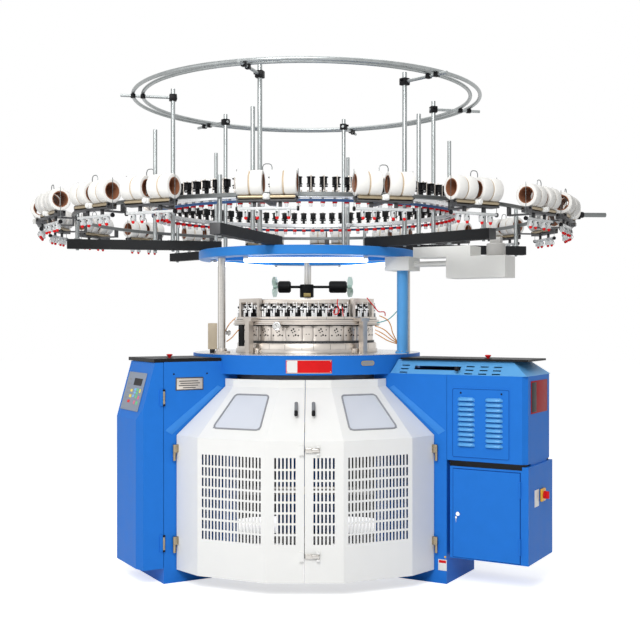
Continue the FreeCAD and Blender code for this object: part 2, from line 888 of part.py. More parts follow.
def slot_row(name, count, first):
    """Upright slots in the facet that faces the front."""
    slots = []
    for index in range(count):
        middle = first + S.slot_pitch * index
        slots.append(box("%s_%d" % (name, index), about(middle, S.slot_width),
                         about(-S.guard_flat, S.guard_sheet * 4), (S.slot_bottom, S.slot_top)))
    return slots


def pull_handle(name, side):
    """A bar handle on two stubs, square to the sloping sheet."""
    slope = math.degrees(math.atan2(float(S.guard_flat - S.guard_top_flat),
                                    float(S.guard_neck - S.guard_shoulder)))
    run = (S.guard_flat - S.guard_top_flat) / (S.guard_neck - S.guard_shoulder)
    depth = S.guard_flat - (S.handle_height - S.guard_shoulder) * run
    half = S.handle_length * 0.5
    grip = bar(name + "_grip", 6, S.handle_radius, (0, -S.handle_standoff, -half),
               S.handle_length)
    stubs = [bar("%s_stub%d" % (name, index), 6, S.handle_radius, (0, -S.handle_standoff, place),
                 S.handle_standoff + S.sink, "Y")
             for index, place in enumerate((S.handle_radius * 2 - half,
                                            half - S.handle_radius * 2))]
    handle = fuse(name, grip, *stubs)
    seat(handle, side * S.handle_offset, -depth, S.handle_height,
         turn=Rotation(Vector(1, 0, 0), -slope))
    return handle


def latch_levels(bottom):
    """The heights of a latch: its whole height and the lever between its lugs."""
    top = bottom + S.latch_height
    lug = S.latch_lug + S.fit_gap
    return (bottom, top), (bottom + lug, top - lug)


def latch_base(name, bottom):
    """Two lugs on the right guard that hold the pivot of a latch."""
    whole, middle = latch_levels(bottom)
    x = (S.latch_reach - S.latch_thickness * 0.5, S.latch_reach + S.latch_thickness * 0.5)
    y = (-(S.guard_flat + S.latch_thickness + S.fit_gap * 2), -(S.guard_flat - S.sink))
    return [box(name + "_under", x, y, (whole[0], whole[0] + S.latch_lug)),
            box(name + "_over", x, y, (whole[1] - S.latch_lug, whole[1]))]


def guard_door(label, side, sheets, latch_bottoms):
    """Half of the front guard, with its slots, window, handle and hinge leaves."""
    reach = S.guard_flat * 1.4
    start = S.seam_gap * 0.5
    region = box(label + "_region", span(side * start, side * reach),
                 (-reach, -S.guard_top_flat * 0.6), (S.guard_bottom, S.guard_top))
    half = common(label + "_half", sheets, region)
    front_slots = slot_row(label + "_front_slot", FRONT_SLOTS, S.front_slot_start)
    if side < 0:
        front_slots = [around(label + "_front_slots", group(label + "_slots", *front_slots), [0])]
        front_slots[0].Shape = front_slots[0].Shape.mirror(Vector(), Vector(1, 0, 0))
    first = S.slot_pitch * (-(SIDE_SLOTS - 1) / 2)
    side_slots = slot_row(label + "_side_slot", SIDE_SLOTS, first)
    window = window_prism(label + "_window", 0)
    turned_tools = turned(label + "_turned_tools", side * GUARD_STEP, window, *side_slots)
    pierced = cut(label + "_pierced", half, turned_tools, *front_slots)
    pieces = [pierced, pull_handle(label + "_handle", side)]
    for index, bottom in enumerate(latch_bottoms):
        name = "%s_latch%d" % (label, index)
        if side > 0:
            pieces.extend(latch_base(name, bottom))
        else:
            whole = latch_levels(bottom)[0]
            x = (-(S.seam_gap + S.catch_width), -S.seam_gap)
            y = (-(S.guard_flat + S.latch_thickness), -(S.guard_flat - S.sink))
            pieces.append(box(name, x, y, whole))
    angle = LEG_ANGLES["leg_right"] if side > 0 else LEG_ANGLES["leg_left"]
    axis_off = S.leg_width * 0.5 + S.hinge_axis_off
    knuckle_half = S.hinge_height * 0.5
    for name, bottom in (("upper", S.upper_hinge_bottom), ("lower", S.lower_hinge_bottom)):
        z = (bottom + knuckle_half, bottom + S.hinge_height)
        leaf = box("%s_%s_leaf" % (label, name), (S.hinge_axis_out - S.hinge_leaf_reach,
                                                      S.hinge_axis_out),
                   span(-side * (axis_off - S.hinge_radius * 0.6),
                        -side * (axis_off + S.hinge_radius)), z)
        knuckle = bar("%s_%s_knuckle" % (label, name), 8, S.hinge_radius,
                      (S.hinge_axis_out, -side * axis_off, z[0]), knuckle_half)
        hinge = fuse("%s_%s_hinge" % (label, name), leaf, knuckle)
        pieces.append(turned("%s_%s_hinge_turned" % (label, name), angle, hinge))
    node(label, fuse(label + "_door", *pieces))


def window_pane(label, side):
    """A clear pane clamped behind the window opening of a guard."""
    sheet = cut(label + "_slab", guard_block(label + "_face", S.guard_sheet),
                guard_block(label + "_back", S.guard_sheet + S.window_pane))
    prism = turned(label + "_prism_turned", side * GUARD_STEP,
                   window_prism(label + "_prism", S.window_lap))
    node(label, common(label + "_pane", sheet, prism))


def latch_lever(label, bottom):
    """A lever that reaches over the seam of the guards."""
    z = latch_levels(bottom)[1]
    middle = S.guard_flat + S.fit_gap + S.latch_thickness * 0.5
    arm = box(label + "_arm", (S.seam_gap, S.latch_reach), about(-middle, S.latch_thickness), z)
    boss = bar(label + "_boss", 12, S.latch_thickness * 0.5, (S.latch_reach, -middle, z[0]),
               z[1] - z[0])
    node(label, fuse(label + "_lever", arm, boss))


def make_guards():
    """Two front doors with windows and latches, and the fixed rear guards."""
    sheets = guard_sectors("front", S.guard_leg_gap)
    latch_bottoms = (S.upper_latch_bottom, S.lower_latch_bottom)
    guard_door("guard_right", 1, sheets, latch_bottoms)
    guard_door("guard_left", -1, sheets, latch_bottoms)
    window_pane("window_right", 1)
    window_pane("window_left", -1)
    latch_lever("latch_upper", S.upper_latch_bottom)
    latch_lever("latch_lower", S.lower_latch_bottom)
    reach = S.guard_flat * 1.4
    region = box("rear_region", (-reach, reach), (-S.guard_top_flat * 0.6, reach),
                 (S.guard_bottom, S.guard_top))
    node("rear_guards", common("rear_fixed", guard_sectors("rear", S.fit_gap), region))


# ---- knitting head -----------------------------------------------------------------------------

def make_cylinder():
    """Needle cylinder with the skirt that reaches down through the bed."""
    inner = S.cylinder_radius - S.cylinder_wall
    barrel = sided_ring("cylinder_barrel", 30, S.cylinder_radius, inner,
                        (S.cylinder_bottom, S.cylinder_top))
    skirt = sided_ring("cylinder_skirt", 30, S.skirt_radius,
                       S.skirt_radius - S.cylinder_wall,
                       (S.skirt_bottom, S.cylinder_bottom + S.cylinder_wall))
    rim = sided_ring("cylinder_rim", 30, S.cylinder_radius, S.skirt_radius - S.cylinder_wall,
                     (S.cylinder_bottom, S.cylinder_bottom + S.cylinder_wall))
    node("needle_cylinder", fuse("cylinder_body", barrel, skirt, rim))


def cam_box(name, step):
    """One box of the cam ring, over a step of its circle."""
    half_angle = math.radians(step) / 2
    inner_half = S.cam_inner * math.sin(half_angle) - S.fit_gap * 0.5
    outer_half = S.cam_outer * math.sin(half_angle) - S.fit_gap * 0.5
    inner_out = S.cam_inner * math.cos(half_angle)
    outer_out = S.cam_outer * math.cos(half_angle)
    wedge = outline(name + "_outline", "XY", ((inner_out, -inner_half), (outer_out, -outer_half),
                                              (outer_out, outer_half), (inner_out, inner_half)))
    cam = extrusion(name, wedge, S.cam_top - S.saddle_top)
    seat(cam, 0, 0, S.saddle_top)
    return cam


def make_head():
    """Saddle, cam boxes, cap ring and the posts that hold the cap ring."""
    node("saddle_ring", sided_ring("saddle", 40, S.saddle_outer, S.saddle_inner,
                                   (S.bed_top, S.saddle_top)))
    node("cap_ring", sided_ring("cap", 40, S.cap_outer, S.cap_inner, (S.cam_top, S.cap_top)))
    count = int(float(S.cam_count))
    step = (360 - NARROW_CAM_SPAN) / count
    first = NARROW_CAM_START + NARROW_CAM_SPAN + step / 2
    wide = around("wide_cams", cam_box("wide_cam", step),
                  [first + step * index for index in range(count)])
    narrow = around("narrow_cams", cam_box("narrow_cam", NARROW_CAM_SPAN),
                    [NARROW_CAM_START + NARROW_CAM_SPAN / 2])
    node("cam_boxes", group("cam_ring", wide, narrow))
    post = box("head_post_bar", about(S.head_post_radius, S.head_post),
               about(0, S.head_post), (S.bed_top, S.cap_top + S.head_clamp_height))
    clamp = box("head_post_clamp", (S.head_post_radius - S.head_clamp_reach,
                                    S.head_post_radius + S.head_post * 0.5),
                about(0, S.head_post * 2), (S.cap_top, S.cap_top + S.head_clamp_height))
    posts = around("head_post_set", fuse("head_post", post, clamp), HEAD_POST_ANGLES)
    node("head_posts", group("head_post_group", posts, make_portals(), make_gauge()))
    guide = box("guide", about(S.guide_radius, S.guide_depth), about(0, S.guide_width),
                (S.cap_top, S.cap_top + S.guide_height))
    count = int(float(S.guide_count))
    leg_turn = math.degrees(math.atan2(float(S.portal_width) / 2, float(S.portal_radius))) - 1
    taken = [(angle, POST_CLEAR_ANGLE) for angle in HEAD_POST_ANGLES]
    taken += [(angle + side * leg_turn, PORTAL_CLEAR_ANGLE) for angle in PORTAL_ANGLES for side in (-1, 1)]
    angles = [angle for angle in even_angles(count, 180 / count)
              if all(abs((angle - place + 180) % 360 - 180) > clear for place, clear in taken)]
    node("yarn_guides", around("guide_ring", guide, angles))


def make_portals():
    """Square frames over the cap ring that carry yarn tubes."""
    bar_half = S.portal_width * 0.5
    x = about(S.portal_radius, S.portal_bar)
    whole = box("portal_whole", x, (-bar_half, bar_half), (S.cap_top, S.portal_top))
    inside = box("portal_inside", x, (S.portal_bar - bar_half, bar_half - S.portal_bar),
                 (S.cap_top, S.portal_top - S.portal_bar))
    portal = cut("portal", whole, inside)
    return around("portal_set", portal, PORTAL_ANGLES)


def make_gauge():
    """Dial gauge that reads the height of the cap ring."""
    x = S.gauge_place
    depth = (float(S.cap_outer) ** 2 - float(x) ** 2) ** 0.5
    middle = S.cap_top - S.gauge_drop
    front = bar("front_gauge", 12, S.gauge_radius, (x, -(depth + S.gauge_depth * 2), middle),
                S.gauge_depth, "Y")
    stem = box("front_gauge_stem", about(x, S.gauge_stem),
               (-(depth + S.gauge_depth + S.sink), -(depth - S.gauge_stem_lap)),
               (middle - S.gauge_stem * 0.5, S.cam_top - S.fit_gap))
    return fuse("gauge", front, stem)


# ---- take-down ---------------------------------------------------------------------------------

def make_takedown():
    """Frame that turns with the cylinder, its draw roller and its winding bar."""
    beam_z = (S.pivot_top + S.fit_gap, S.takedown_beam_top)
    depth = about(0, S.takedown_depth)
    ring_z = (S.skirt_bottom - S.takedown_ring_height, S.skirt_bottom)
    beam = box("takedown_beam", (-S.takedown_reach, S.takedown_reach), depth, beam_z)
    arms = []
    for name, side in (("left", -1), ("right", 1)):
        x = span(side * (S.takedown_reach - S.takedown_arm), side * S.takedown_reach)
        arms.append(box("takedown_%s_arm" % name, x, depth, (beam_z[1], ring_z[0])))
    ring = sided_ring("takedown_ring", 24, S.takedown_ring_outer, S.takedown_ring_inner, ring_z)
    frame = fuse("takedown_body", beam, ring, *arms)
    bores = []
    for name, height in (("draw", S.draw_roller_height), ("winding", S.winding_bar_height)):
        bores.append(bar(name + "_bore", JOURNAL_SIDES,
                         (S.journal_radius + S.fit_gap) / math.cos(math.pi / JOURNAL_SIDES),
                         (-S.takedown_reach, 0, height), S.takedown_reach * 2, "X"))
    node("takedown_frame", cut("takedown_bored", frame, *bores))
    for label, radius, height in (
            ("draw_roller", S.draw_roller_radius, S.draw_roller_height),
            ("winding_bar", S.winding_bar_radius, S.winding_bar_height)):
        inner = S.takedown_reach - S.takedown_arm - S.fit_gap
        barrel = bar(label + "_barrel", 12, radius, (-inner, 0, height), inner * 2, "X")
        journal = bar(label + "_journal", JOURNAL_SIDES, S.journal_radius, (-S.takedown_reach, 0, height),
                      S.takedown_reach * 2, "X")
        node(label, fuse(label + "_body", barrel, journal))


# ---- columns, upper ring and lamps -------------------------------------------------------------

def make_columns():
    """Columns between the bed and the upper ring, and the drive shaft of the feeders."""
    z = (S.bed_top, S.ring_bottom)
    columns = [turned("column_%d" % angle, angle,
                      bar("column_bar_%d" % angle, 16, S.steel_column_radius,
                          (S.steel_column_place, 0, z[0]), z[1] - z[0]))
               for angle in (210, 90)]
    node("steel_columns", group("column_group", *columns))
    drive = bar("drive_column", 20, S.drive_column_radius, (S.drive_column_place, 0, z[0]),
                z[1] - z[0])
    node("column_right", turned("drive_column_turned", -30, drive))
    shaft = bar("feeder_shaft_bar", 8, S.feeder_shaft_radius,
                (S.feeder_shaft_place, S.feeder_shaft_off, S.bed_top + S.fit_gap),
                S.transfer_bottom - S.bed_top - S.fit_gap * 2)
    node("feeder_shaft", turned("feeder_shaft_turned", -30, shaft))


def make_upper_ring():
    """Ring over the columns, with the cross bar that carries the fans."""
    ring = sided_ring("upper_band", 64, S.ring_outer, S.ring_inner, (S.ring_bottom, S.ring_top))
    bar_end = (S.ring_outer + S.ring_inner) * 0.5
    cross = box("cross_bar", (-bar_end, bar_end), about(0, S.cross_bar_width),
                (S.ring_bottom, S.ring_top))
    node("upper_ring", fuse("upper_ring_body", ring, cross))
    half = S.lamp_length * 0.5
    tube = bar("lamp_tube", 12, S.lamp_radius, (S.lamp_place, -half, S.lamp_height),
               S.lamp_length, "Y")
    holders = [box("lamp_holder_%s" % name, about(S.lamp_place, S.lamp_radius * 2),
                   about(side * (half - S.lamp_radius), S.lamp_radius * 2),
                   (S.lamp_height - S.lamp_radius, S.ring_bottom))
               for name, side in (("near", -1), ("far", 1))]
    node("lamps", around("lamp_set", fuse("lamp", tube, *holders), (270, 30, 150)))


# ---- yarn gallery ------------------------------------------------------------------------------

def beam_angles():
    """Directions of the beams."""
    return even_angles(int(float(S.beam_count)), float(S.beam_angle))


def make_gallery():
    """Beams, posts, arms and the two top rings."""
    angles = beam_angles()
    beam_top = S.beam_top
    beam = box("beam", (S.beam_start, S.beam_end), about(0, S.beam_side),
               (S.ring_top, beam_top))
    node("beams", around("beam_set", beam, angles))
    z = about(S.arm_middle, S.arm_side)
    ring_bottom = S.feeder_ring_bottom
    ring_top = ring_bottom + S.feeder_ring_height
    feeder_place = (S.feeder_ring_outer + S.feeder_ring_inner) * 0.5
    tall = bar("tall_post", 6, S.tall_post_radius, (S.tall_post_place, 0, beam_top),
               z[0] - beam_top)
    stub = bar("tall_post_stub", 6, S.tall_post_radius, (S.tall_post_place, 0, z[1]),
               S.tall_post_top - z[1])
    lower = bar("short_post_lower", 6, S.short_post_radius, (feeder_place, 0, beam_top),
                ring_bottom - beam_top)
    upper = bar("short_post_upper", 6, S.short_post_radius, (feeder_place, 0, ring_top),
                S.short_post_top - ring_top)
    creel = bar("creel_post", 6, S.creel_post_radius, (S.creel_post_place, 0, beam_top),
                S.creel_post_top - beam_top)
    posts = group("post_group", tall, stub, lower, upper, creel)
    node("posts", around("post_set", posts, angles))
    arm = box("clamp_arm", (S.arm_start, S.arm_end), about(0, S.arm_side), z)
    sleeve = box("clamp_sleeve", about(S.tall_post_place, S.clamp_side), about(0, S.clamp_side), z)
    node("top_clamps", around("clamp_set", fuse("clamp", arm, sleeve), angles))
    rings = [bent_ring("top_ring_%s" % name, place, z[1] + S.top_ring_tube)
             for name, place in (("outer", S.top_ring_outer), ("inner", S.top_ring_inner))]
    node("top_rings", group("top_ring_group", *rings))


def bent_ring(name, radius, height):
    """A steel tube rolled into a hoop in short straight lengths."""
    tube = float(S.top_ring_tube)
    corners = []
    for turn in range(6):
        angle = math.radians(60 * turn + 30)
        corners.append((float(radius) + tube * math.cos(angle),
                        float(height) + tube * math.sin(angle)))

    def spot(corner, side):
        turn = 2 * math.pi * side / HOOP_SIDES
        out, level = corner
        return Vector(out * math.cos(turn), out * math.sin(turn), level)

    quads = [(spot(corner, side), spot(corner, side + 1), spot(corners[index - 1], side + 1),
              spot(corners[index - 1], side))
             for side in range(HOOP_SIDES) for index, corner in enumerate(corners)]
    return faceted_solid(name, quads)


def unit_angles():
    """Directions of the creel units: set by eye in front, evenly spread behind."""
    back = UNIT_COUNT - len(FRONT_UNIT_ANGLES)
    first, last = FRONT_UNIT_ANGLES[-1], FRONT_UNIT_ANGLES[0] + 360
    step = (last - first) / (back + 1)
    rest = [first + step * (index + 1) for index in range(back)]
    return [270 + angle for angle in list(FRONT_UNIT_ANGLES) + rest]


def make_creel():
    """Ring of yarn packages, each pair lying on two rollers, with stop sensors below."""
    inner = S.creel_post_place + S.creel_post_radius + S.fit_gap
    outer = inner + S.creel_ring_width
    z = (S.creel_ring_bottom, S.creel_ring_bottom + S.creel_ring_height)
    ring = sided_ring("creel_band", 40, outer + S.creel_ring_clear, inner + S.creel_ring_clear, z)
    bar_length = S.creel_bar_end - S.creel_bar_start
    level_bar = bar("creel_bar", 8, S.creel_bar_radius,
                   (S.creel_bar_start, 0, S.creel_bar_height), bar_length, "X")
    strut_z = (z[1], S.creel_bar_height + S.creel_bar_radius)
    strut = box("creel_bar_post", (inner + S.creel_ring_clear, outer),
                about(0, S.creel_ring_width), strut_z)
    reach = box("creel_bar_arm", (inner + S.creel_ring_width, S.creel_bar_start),
                about(0, S.creel_bar_radius), about(S.creel_bar_height, S.creel_bar_radius))
    side_bar = turned("creel_bar_turned", float(S.creel_bar_angle),
                      fuse("creel_bar_body", level_bar, strut, reach))
    node("creel_ring", group("creel_ring_group", ring, side_bar))
    angles = unit_angles()
    roller_middle = S.bracket_top + S.roller_radius
    lean = math.radians(180 / PACKAGE_SIDES)
    contact = S.package_radius * math.cos(lean) + S.roller_radius + S.fit_gap
    spread = contact * math.sin(lean)
    package_middle = roller_middle + contact * math.cos(lean)
    far = S.package_place + spread
    arm = box("bracket_arm", (inner + S.creel_ring_clear, far + S.roller_radius * 2),
              about(0, S.bracket_width),
              (S.bracket_bottom, S.bracket_top))
    stem = box("bracket_stem", (inner + S.creel_ring_clear, outer), about(0, S.bracket_width),
               (S.bracket_top, z[0]))
    drop = box("bracket_drop", about(S.package_place, S.bracket_drop_thickness),
               about(0, S.bracket_width),
               (S.sensor_rail_bottom + S.sensor_rail_height, S.bracket_bottom))
    rail = box("sensor_rail", about(S.package_place, S.sensor_depth), about(0, S.sensor_rail_length),
               (S.sensor_rail_bottom, S.sensor_rail_bottom + S.sensor_rail_height))
    bracket = fuse("bracket", arm, stem, drop, rail)
    node("creel_brackets", around("bracket_set", bracket, angles))
    half = S.roller_length * 0.5
    rollers = [bar("roller_%s" % name, 6, S.roller_radius,
                   (S.package_place + side * spread, -half, roller_middle),
                   S.roller_length, "Y", side * (30 - 180 / PACKAGE_SIDES))
               for name, side in (("near", -1), ("far", 1))]
    node("creel_rollers", around("roller_set", group("roller_pair", *rollers), angles))
    packages = [bar("package_%s" % name, PACKAGE_SIDES, S.package_radius,
                    (S.package_place, side * S.package_offset - S.package_width * 0.5,
                     package_middle), S.package_width, "Y", 180 / PACKAGE_SIDES)
                for name, side in (("left", -1), ("right", 1))]
    node("yarn_packages", around("package_set", group("package_pair", *packages), angles))
    sensors = []
    for index, place in enumerate((-S.sensor_outer_offset, -S.sensor_inner_offset,
                                   S.sensor_inner_offset, S.sensor_outer_offset)):
        sensors.append(box("sensor_%d" % index, about(S.package_place, S.sensor_depth),
                           about(place, S.sensor_width),
                           (S.sensor_rail_bottom - S.sensor_height, S.sensor_rail_bottom)))
    node("stop_sensors", around("sensor_set", group("sensor_row", *sensors), angles))


def make_feeders():
    """Ring of positive feeders, driven by one belt."""
    ring_z = (S.feeder_ring_bottom, S.feeder_ring_bottom + S.feeder_ring_height)
    node("feeder_ring", sided_ring("feeder_band", 45, S.feeder_ring_outer, S.feeder_ring_inner,
                                   ring_z))
    count = int(float(S.feeder_count))
    middle = (S.feeder_ring_outer + S.feeder_ring_inner) * 0.5
    body = box("feeder_body", (middle + S.short_post_radius + S.fit_gap,
                               middle + S.short_post_radius + S.feeder_depth),
               about(0, S.feeder_width), (ring_z[1], ring_z[1] + S.feeder_height))
    node("feeders", around("feeder_set", body, even_angles(count)))
    belt = sided_ring("feeder_belt_band", 45, S.feeder_belt_radius,
                      S.feeder_belt_radius - S.feeder_belt_width,
                      (S.feeder_belt_bottom, S.feeder_belt_bottom + S.feeder_belt_height))
    node("feeder_belt", belt)


# ---- drive cases and fans ----------------------------------------------------------------------

def make_drive_cases():
    """Transfer box on the drive column, the cross tube and the two outer cases."""
    half = S.transfer_side * 0.5
    transfer_box = box("transfer_box", about(S.drive_column_place, S.transfer_side),
                       (-half, half), (S.transfer_bottom, S.ring_bottom))
    bore = bar("transfer_bore", 20, S.drive_column_radius + S.fit_gap * 2,
               (S.drive_column_place, 0, S.transfer_bottom), S.ring_bottom - S.transfer_bottom)
    tube_start = S.drive_column_place + half
    tube = bar("cross_tube", 12, S.cross_tube_radius, (tube_start, 0, S.cross_tube_height),
               S.lower_case_start - tube_start, "X")
    lower = box("lower_case", (S.lower_case_start, S.lower_case_end),
                (-S.lower_case_front, S.lower_case_back),
                (S.lower_case_bottom, S.lower_case_top))
    upper = box("upper_case", (S.upper_case_start, S.upper_case_end),
                (-S.lower_case_front, S.lower_case_back), (S.lower_case_top, S.upper_case_top))
    cases = cut("cases_bored", fuse("cases_body", transfer_box, tube, lower, upper), bore)
    node("drive_cases", turned("cases_turned", -30, cases))
    blower = bar("blower", 20, S.blower_radius,
                 (S.blower_place, (S.lower_case_back - S.lower_case_front) * 0.5,
                  S.lower_case_top), S.blower_top - S.lower_case_top)
    node("blower_motor", turned("blower_turned", -30, blower))


def fan_blade(label, side, start):
    """Two pitched blades on a nose at the end of a fan motor."""
    nose_start = side * (start + S.fit_gap)
    nose = bar(label + "_nose", 8, S.fan_nose_radius,
               (nose_start if side > 0 else nose_start - S.fan_nose_length, 0,
                S.fan_motor_height), S.fan_nose_length, "X")
    middle = nose_start + side * S.fan_nose_length * 0.5
    blades = []
    for name, way, pitch in (("up", 1, 1), ("down", -1, -1)):
        blade = box("%s_%s" % (label, name), about(0, S.fan_blade_thickness),
                    about(0, S.fan_blade_width),
                    span(way * S.fan_nose_radius * 0.5, way * S.fan_blade_length))
        set_blade = group("%s_%s_set" % (label, name), blade)
        seat(set_blade, middle, 0, S.fan_motor_height,
             turn=Rotation(UP, pitch * float(S.fan_blade_pitch)))
        blades.append(set_blade)
    node(label, fuse(label + "_body", nose, *blades))


def make_fans():
    """Boom under the upper ring with two motors, each with its own blades."""
    shaft = bar("fan_shaft", 10, S.fan_shaft_radius, (0, 0, S.fan_hub_top),
                S.ring_bottom - S.fit_gap - S.fan_hub_top)
    hub = bar("fan_hub", 16, S.fan_hub_radius, (0, 0, S.fan_hub_bottom),
              S.fan_hub_top - S.fan_hub_bottom)
    left_end = S.left_fan_motor_start + S.left_fan_motor_length
    right_end = S.right_fan_motor_start + S.right_fan_motor_length
    arm = bar("fan_arm", 8, S.fan_arm_radius, (-S.left_fan_motor_start - S.sink, 0,
                                               S.fan_motor_height),
              S.left_fan_motor_start + S.right_fan_motor_start + S.sink * 2,
              "X")
    left = bar("left_fan_motor", 12, S.fan_motor_radius, (-left_end, 0, S.fan_motor_height),
               S.left_fan_motor_length, "X")
    right = bar("right_fan_motor", 12, S.fan_motor_radius,
                (S.right_fan_motor_start, 0, S.fan_motor_height), S.right_fan_motor_length, "X")
    node("fan_boom", fuse("fan_boom_body", shaft, hub, arm, left, right))
    fan_blade("fan_blade_left", -1, left_end)
    fan_blade("fan_blade_right", 1, right_end)


# ---- control box, cabinets and drive -----------------------------------------------------------

def control_block(name, inset, back):
    """The folded body of the control box, shrunk by an inset and open at its back."""
    plan = outline(name + "_plan", "XY", (
        (back, -S.control_back + inset),
        (S.control_end - inset, -S.control_back + inset),
        (S.control_end - inset, S.leg_width * 0.5 - S.control_chamfer_side),
        (S.control_end - S.control_chamfer_out - inset, S.leg_width * 0.5 - inset),
        (back, S.leg_width * 0.5 - inset)))
    block = extrusion(name + "_block", plan, S.control_top - S.control_bottom - inset * 2)
    seat(block, 0, 0, S.control_bottom + inset)
    profile = outline(name + "_profile", "XZ", (
        (S.leg_inner, 0), (S.control_end - inset, 0),
        (S.control_end - inset, S.control_slope_start),
        (S.control_top_end - inset, S.control_top),
        (S.leg_inner, S.control_top)))
    slab = extrusion(name + "_slab", profile, S.leg_width * 1.2, -S.leg_width * 1.2)
    return common(name, block, slab)


def make_control_box():
    """Control box hinged on the outer edge of the left leg, with its membrane keypad."""
    outside = control_block("control_outside", 0, S.leg_outer + S.seam_gap)
    inside = control_block("control_inside", S.sheet, S.leg_outer)
    axis_side = S.leg_width * 0.5 + S.box_hinge_radius + S.fit_gap
    barrels = []
    for name, bottom in (("upper", S.box_hinge_upper), ("lower", S.box_hinge_lower)):
        z = (bottom, bottom + S.box_hinge_length)
        barrels.append(box("box_hinge_%s_leaf" % name, (S.leg_outer + S.seam_gap,
                                                        S.leg_outer + S.hinge_leaf_reach),
                           span(S.leg_width * 0.5, axis_side), z))
        barrels.append(bar("box_hinge_%s" % name, 8, S.box_hinge_radius,
                           (S.leg_outer + S.seam_gap * 0.5, axis_side, z[0]),
                           S.box_hinge_length))
    shell = cut("control_shell", outside, inside)
    node("control_box", turned("control_turned", 210, fuse("control_hinged", shell, *barrels)))
    rise = S.control_top - S.control_slope_start
    lean = S.control_end - S.control_top_end
    tilt = math.degrees(math.atan2(float(lean), float(rise)))
    face = S.control_end - (S.keypad_middle - S.control_slope_start) * (lean / rise)
    pad = box("keypad_plate", (0, S.keypad_thickness), about(0, S.keypad_width),
              about(0, S.keypad_length))
    leaned = group("keypad_leaned", pad)
    seat(leaned, face, 0, S.keypad_middle, turn=Rotation(Vector(0, 1, 0), -tilt))
    node("keypad", turned("keypad_turned", 210, leaned))


def make_top_plates():
    """Black plates on the leg and on the lid, with a hole for each emergency button."""
    clear = rod("bed_clearance", S.lid_start, (0, 0, 0), S.top_plate_top)
    left = box("left_plate", (S.leg_inner, S.left_plate_end), about(0, S.leg_width),
               (S.leg_top, S.top_plate_top))
    right = box("right_plate", (S.right_plate_start, S.right_plate_end),
                (-S.right_plate_half, S.right_plate_half),
                (S.right_plate_bottom, S.top_plate_top))
    hole = S.button_stem + S.fit_gap
    tools = (("left", left, S.left_button_place, S.button_side, 210, S.leg_top),
             ("right", right, S.right_button_place, -S.button_side, -30, S.right_plate_bottom))
    plates = []
    for name, plate, place, across, angle, bottom in tools:
        well = bar(name + "_button_hole", 8, hole, (place, across, bottom),
                   S.top_plate_top - bottom)
        trimmed = cut(name + "_plate_cut", plate, clear, well)
        plates.append(turned(name + "_plate_turned", angle, trimmed))
        stem_bottom = S.top_plate_top - S.button_travel
        head_bottom = S.top_plate_top + S.button_travel + S.button_rest_gap
        stem = bar(name + "_button_stem", 8, S.button_stem, (place, across, stem_bottom),
                   head_bottom - stem_bottom)
        head = bar(name + "_button_head", 16, S.button_radius, (place, across, head_bottom),
                   S.button_height)
        button = fuse(name + "_button", stem, head)
        node("emergency_button_" + name, turned(name + "_button_turned", angle, button))
    rear = turned("rear_plate_turned", 90, cut("rear_plate_cut", box(
        "rear_plate", (S.leg_inner, S.leg_outer), about(0, S.leg_width),
        (S.leg_top, S.top_plate_top)), clear))
    node("top_plates", group("plate_group", rear, *plates))


def cover_outline(name, inset, start):
    """Plan of the motor cover, with its outer corners cut off."""
    half = S.leg_width * 0.5 - inset
    end = S.cover_end - inset
    corner = S.cover_chamfer - inset * 0.4
    return outline(name, "XY", ((start, -half), (end - corner, -half), (end, corner - half),
                                (end, half - corner), (end - corner, half), (start, half)))


def make_cover():
    """Motor cover, its louvre panel and the sloping lid over the drive belt."""
    height = S.drive_leg_top - S.cover_bottom
    outside = extrusion("cover_outside",
                        cover_outline("cover_plan", 0, S.leg_outer + S.cover_leg_gap), height)
    inside = extrusion("cover_inside", cover_outline("cover_plan_inside", S.sheet, S.leg_outer),
                       height)
    seat(outside, 0, 0, S.cover_bottom)
    seat(inside, 0, 0, S.cover_bottom)
    front = -S.leg_width * 0.5
    opening = box("louvre_opening", (S.louvre_start + S.louvre_lap, S.louvre_end - S.louvre_lap),
                  about(front, S.sheet * 4),
                  (S.louvre_bottom + S.louvre_lap, S.louvre_top - S.louvre_lap))
    cover = cut("cover_shell", outside, inside, opening)
    node("motor_cover", turned("cover_turned", -30, cover))
    panel = box("louvre_plate", (S.louvre_start, S.louvre_end),
                (front - S.plate_thickness, front), (S.louvre_bottom, S.louvre_top))
    gaps = []
    margin = (S.louvre_top - S.louvre_bottom - S.louvre_pitch * (LOUVRE_ROWS - 1)) * 0.5
    for column, start in enumerate((S.first_louvre, S.second_louvre)):
        for row in range(LOUVRE_ROWS):
            middle = S.louvre_bottom + margin + S.louvre_pitch * row
            gaps.append(box("louvre_%d_%d" % (column, row), (start, start + S.louvre_width),
                            about(front, S.plate_thickness * 4), about(middle, S.louvre_gap)))
    node("louvre_panel", turned("louvre_turned", -30, cut("louvre_cut", panel, *gaps)))
    make_lid()


def lid_block(name, inset):
    """The sloping body of the lid, shrunk by an inset."""
    wedge = doc.addObject("Part::Wedge", name)
    half = S.leg_width * 0.5 - inset
    top_half = S.lid_top_half - inset
    tie(wedge, Xmin=S.leg_inner, Xmax=S.cover_end - inset, Ymin=0,
        Ymax=S.right_plate_bottom - S.drive_leg_top - inset, Zmin=-half, Zmax=half,
        X2min=S.leg_inner, X2max=S.lid_top_end - inset, Z2min=-top_half, Z2max=top_half)
    seat(wedge, 0, 0, S.drive_leg_top, turn=Rotation(Vector(1, 0, 0), 90))
    return wedge


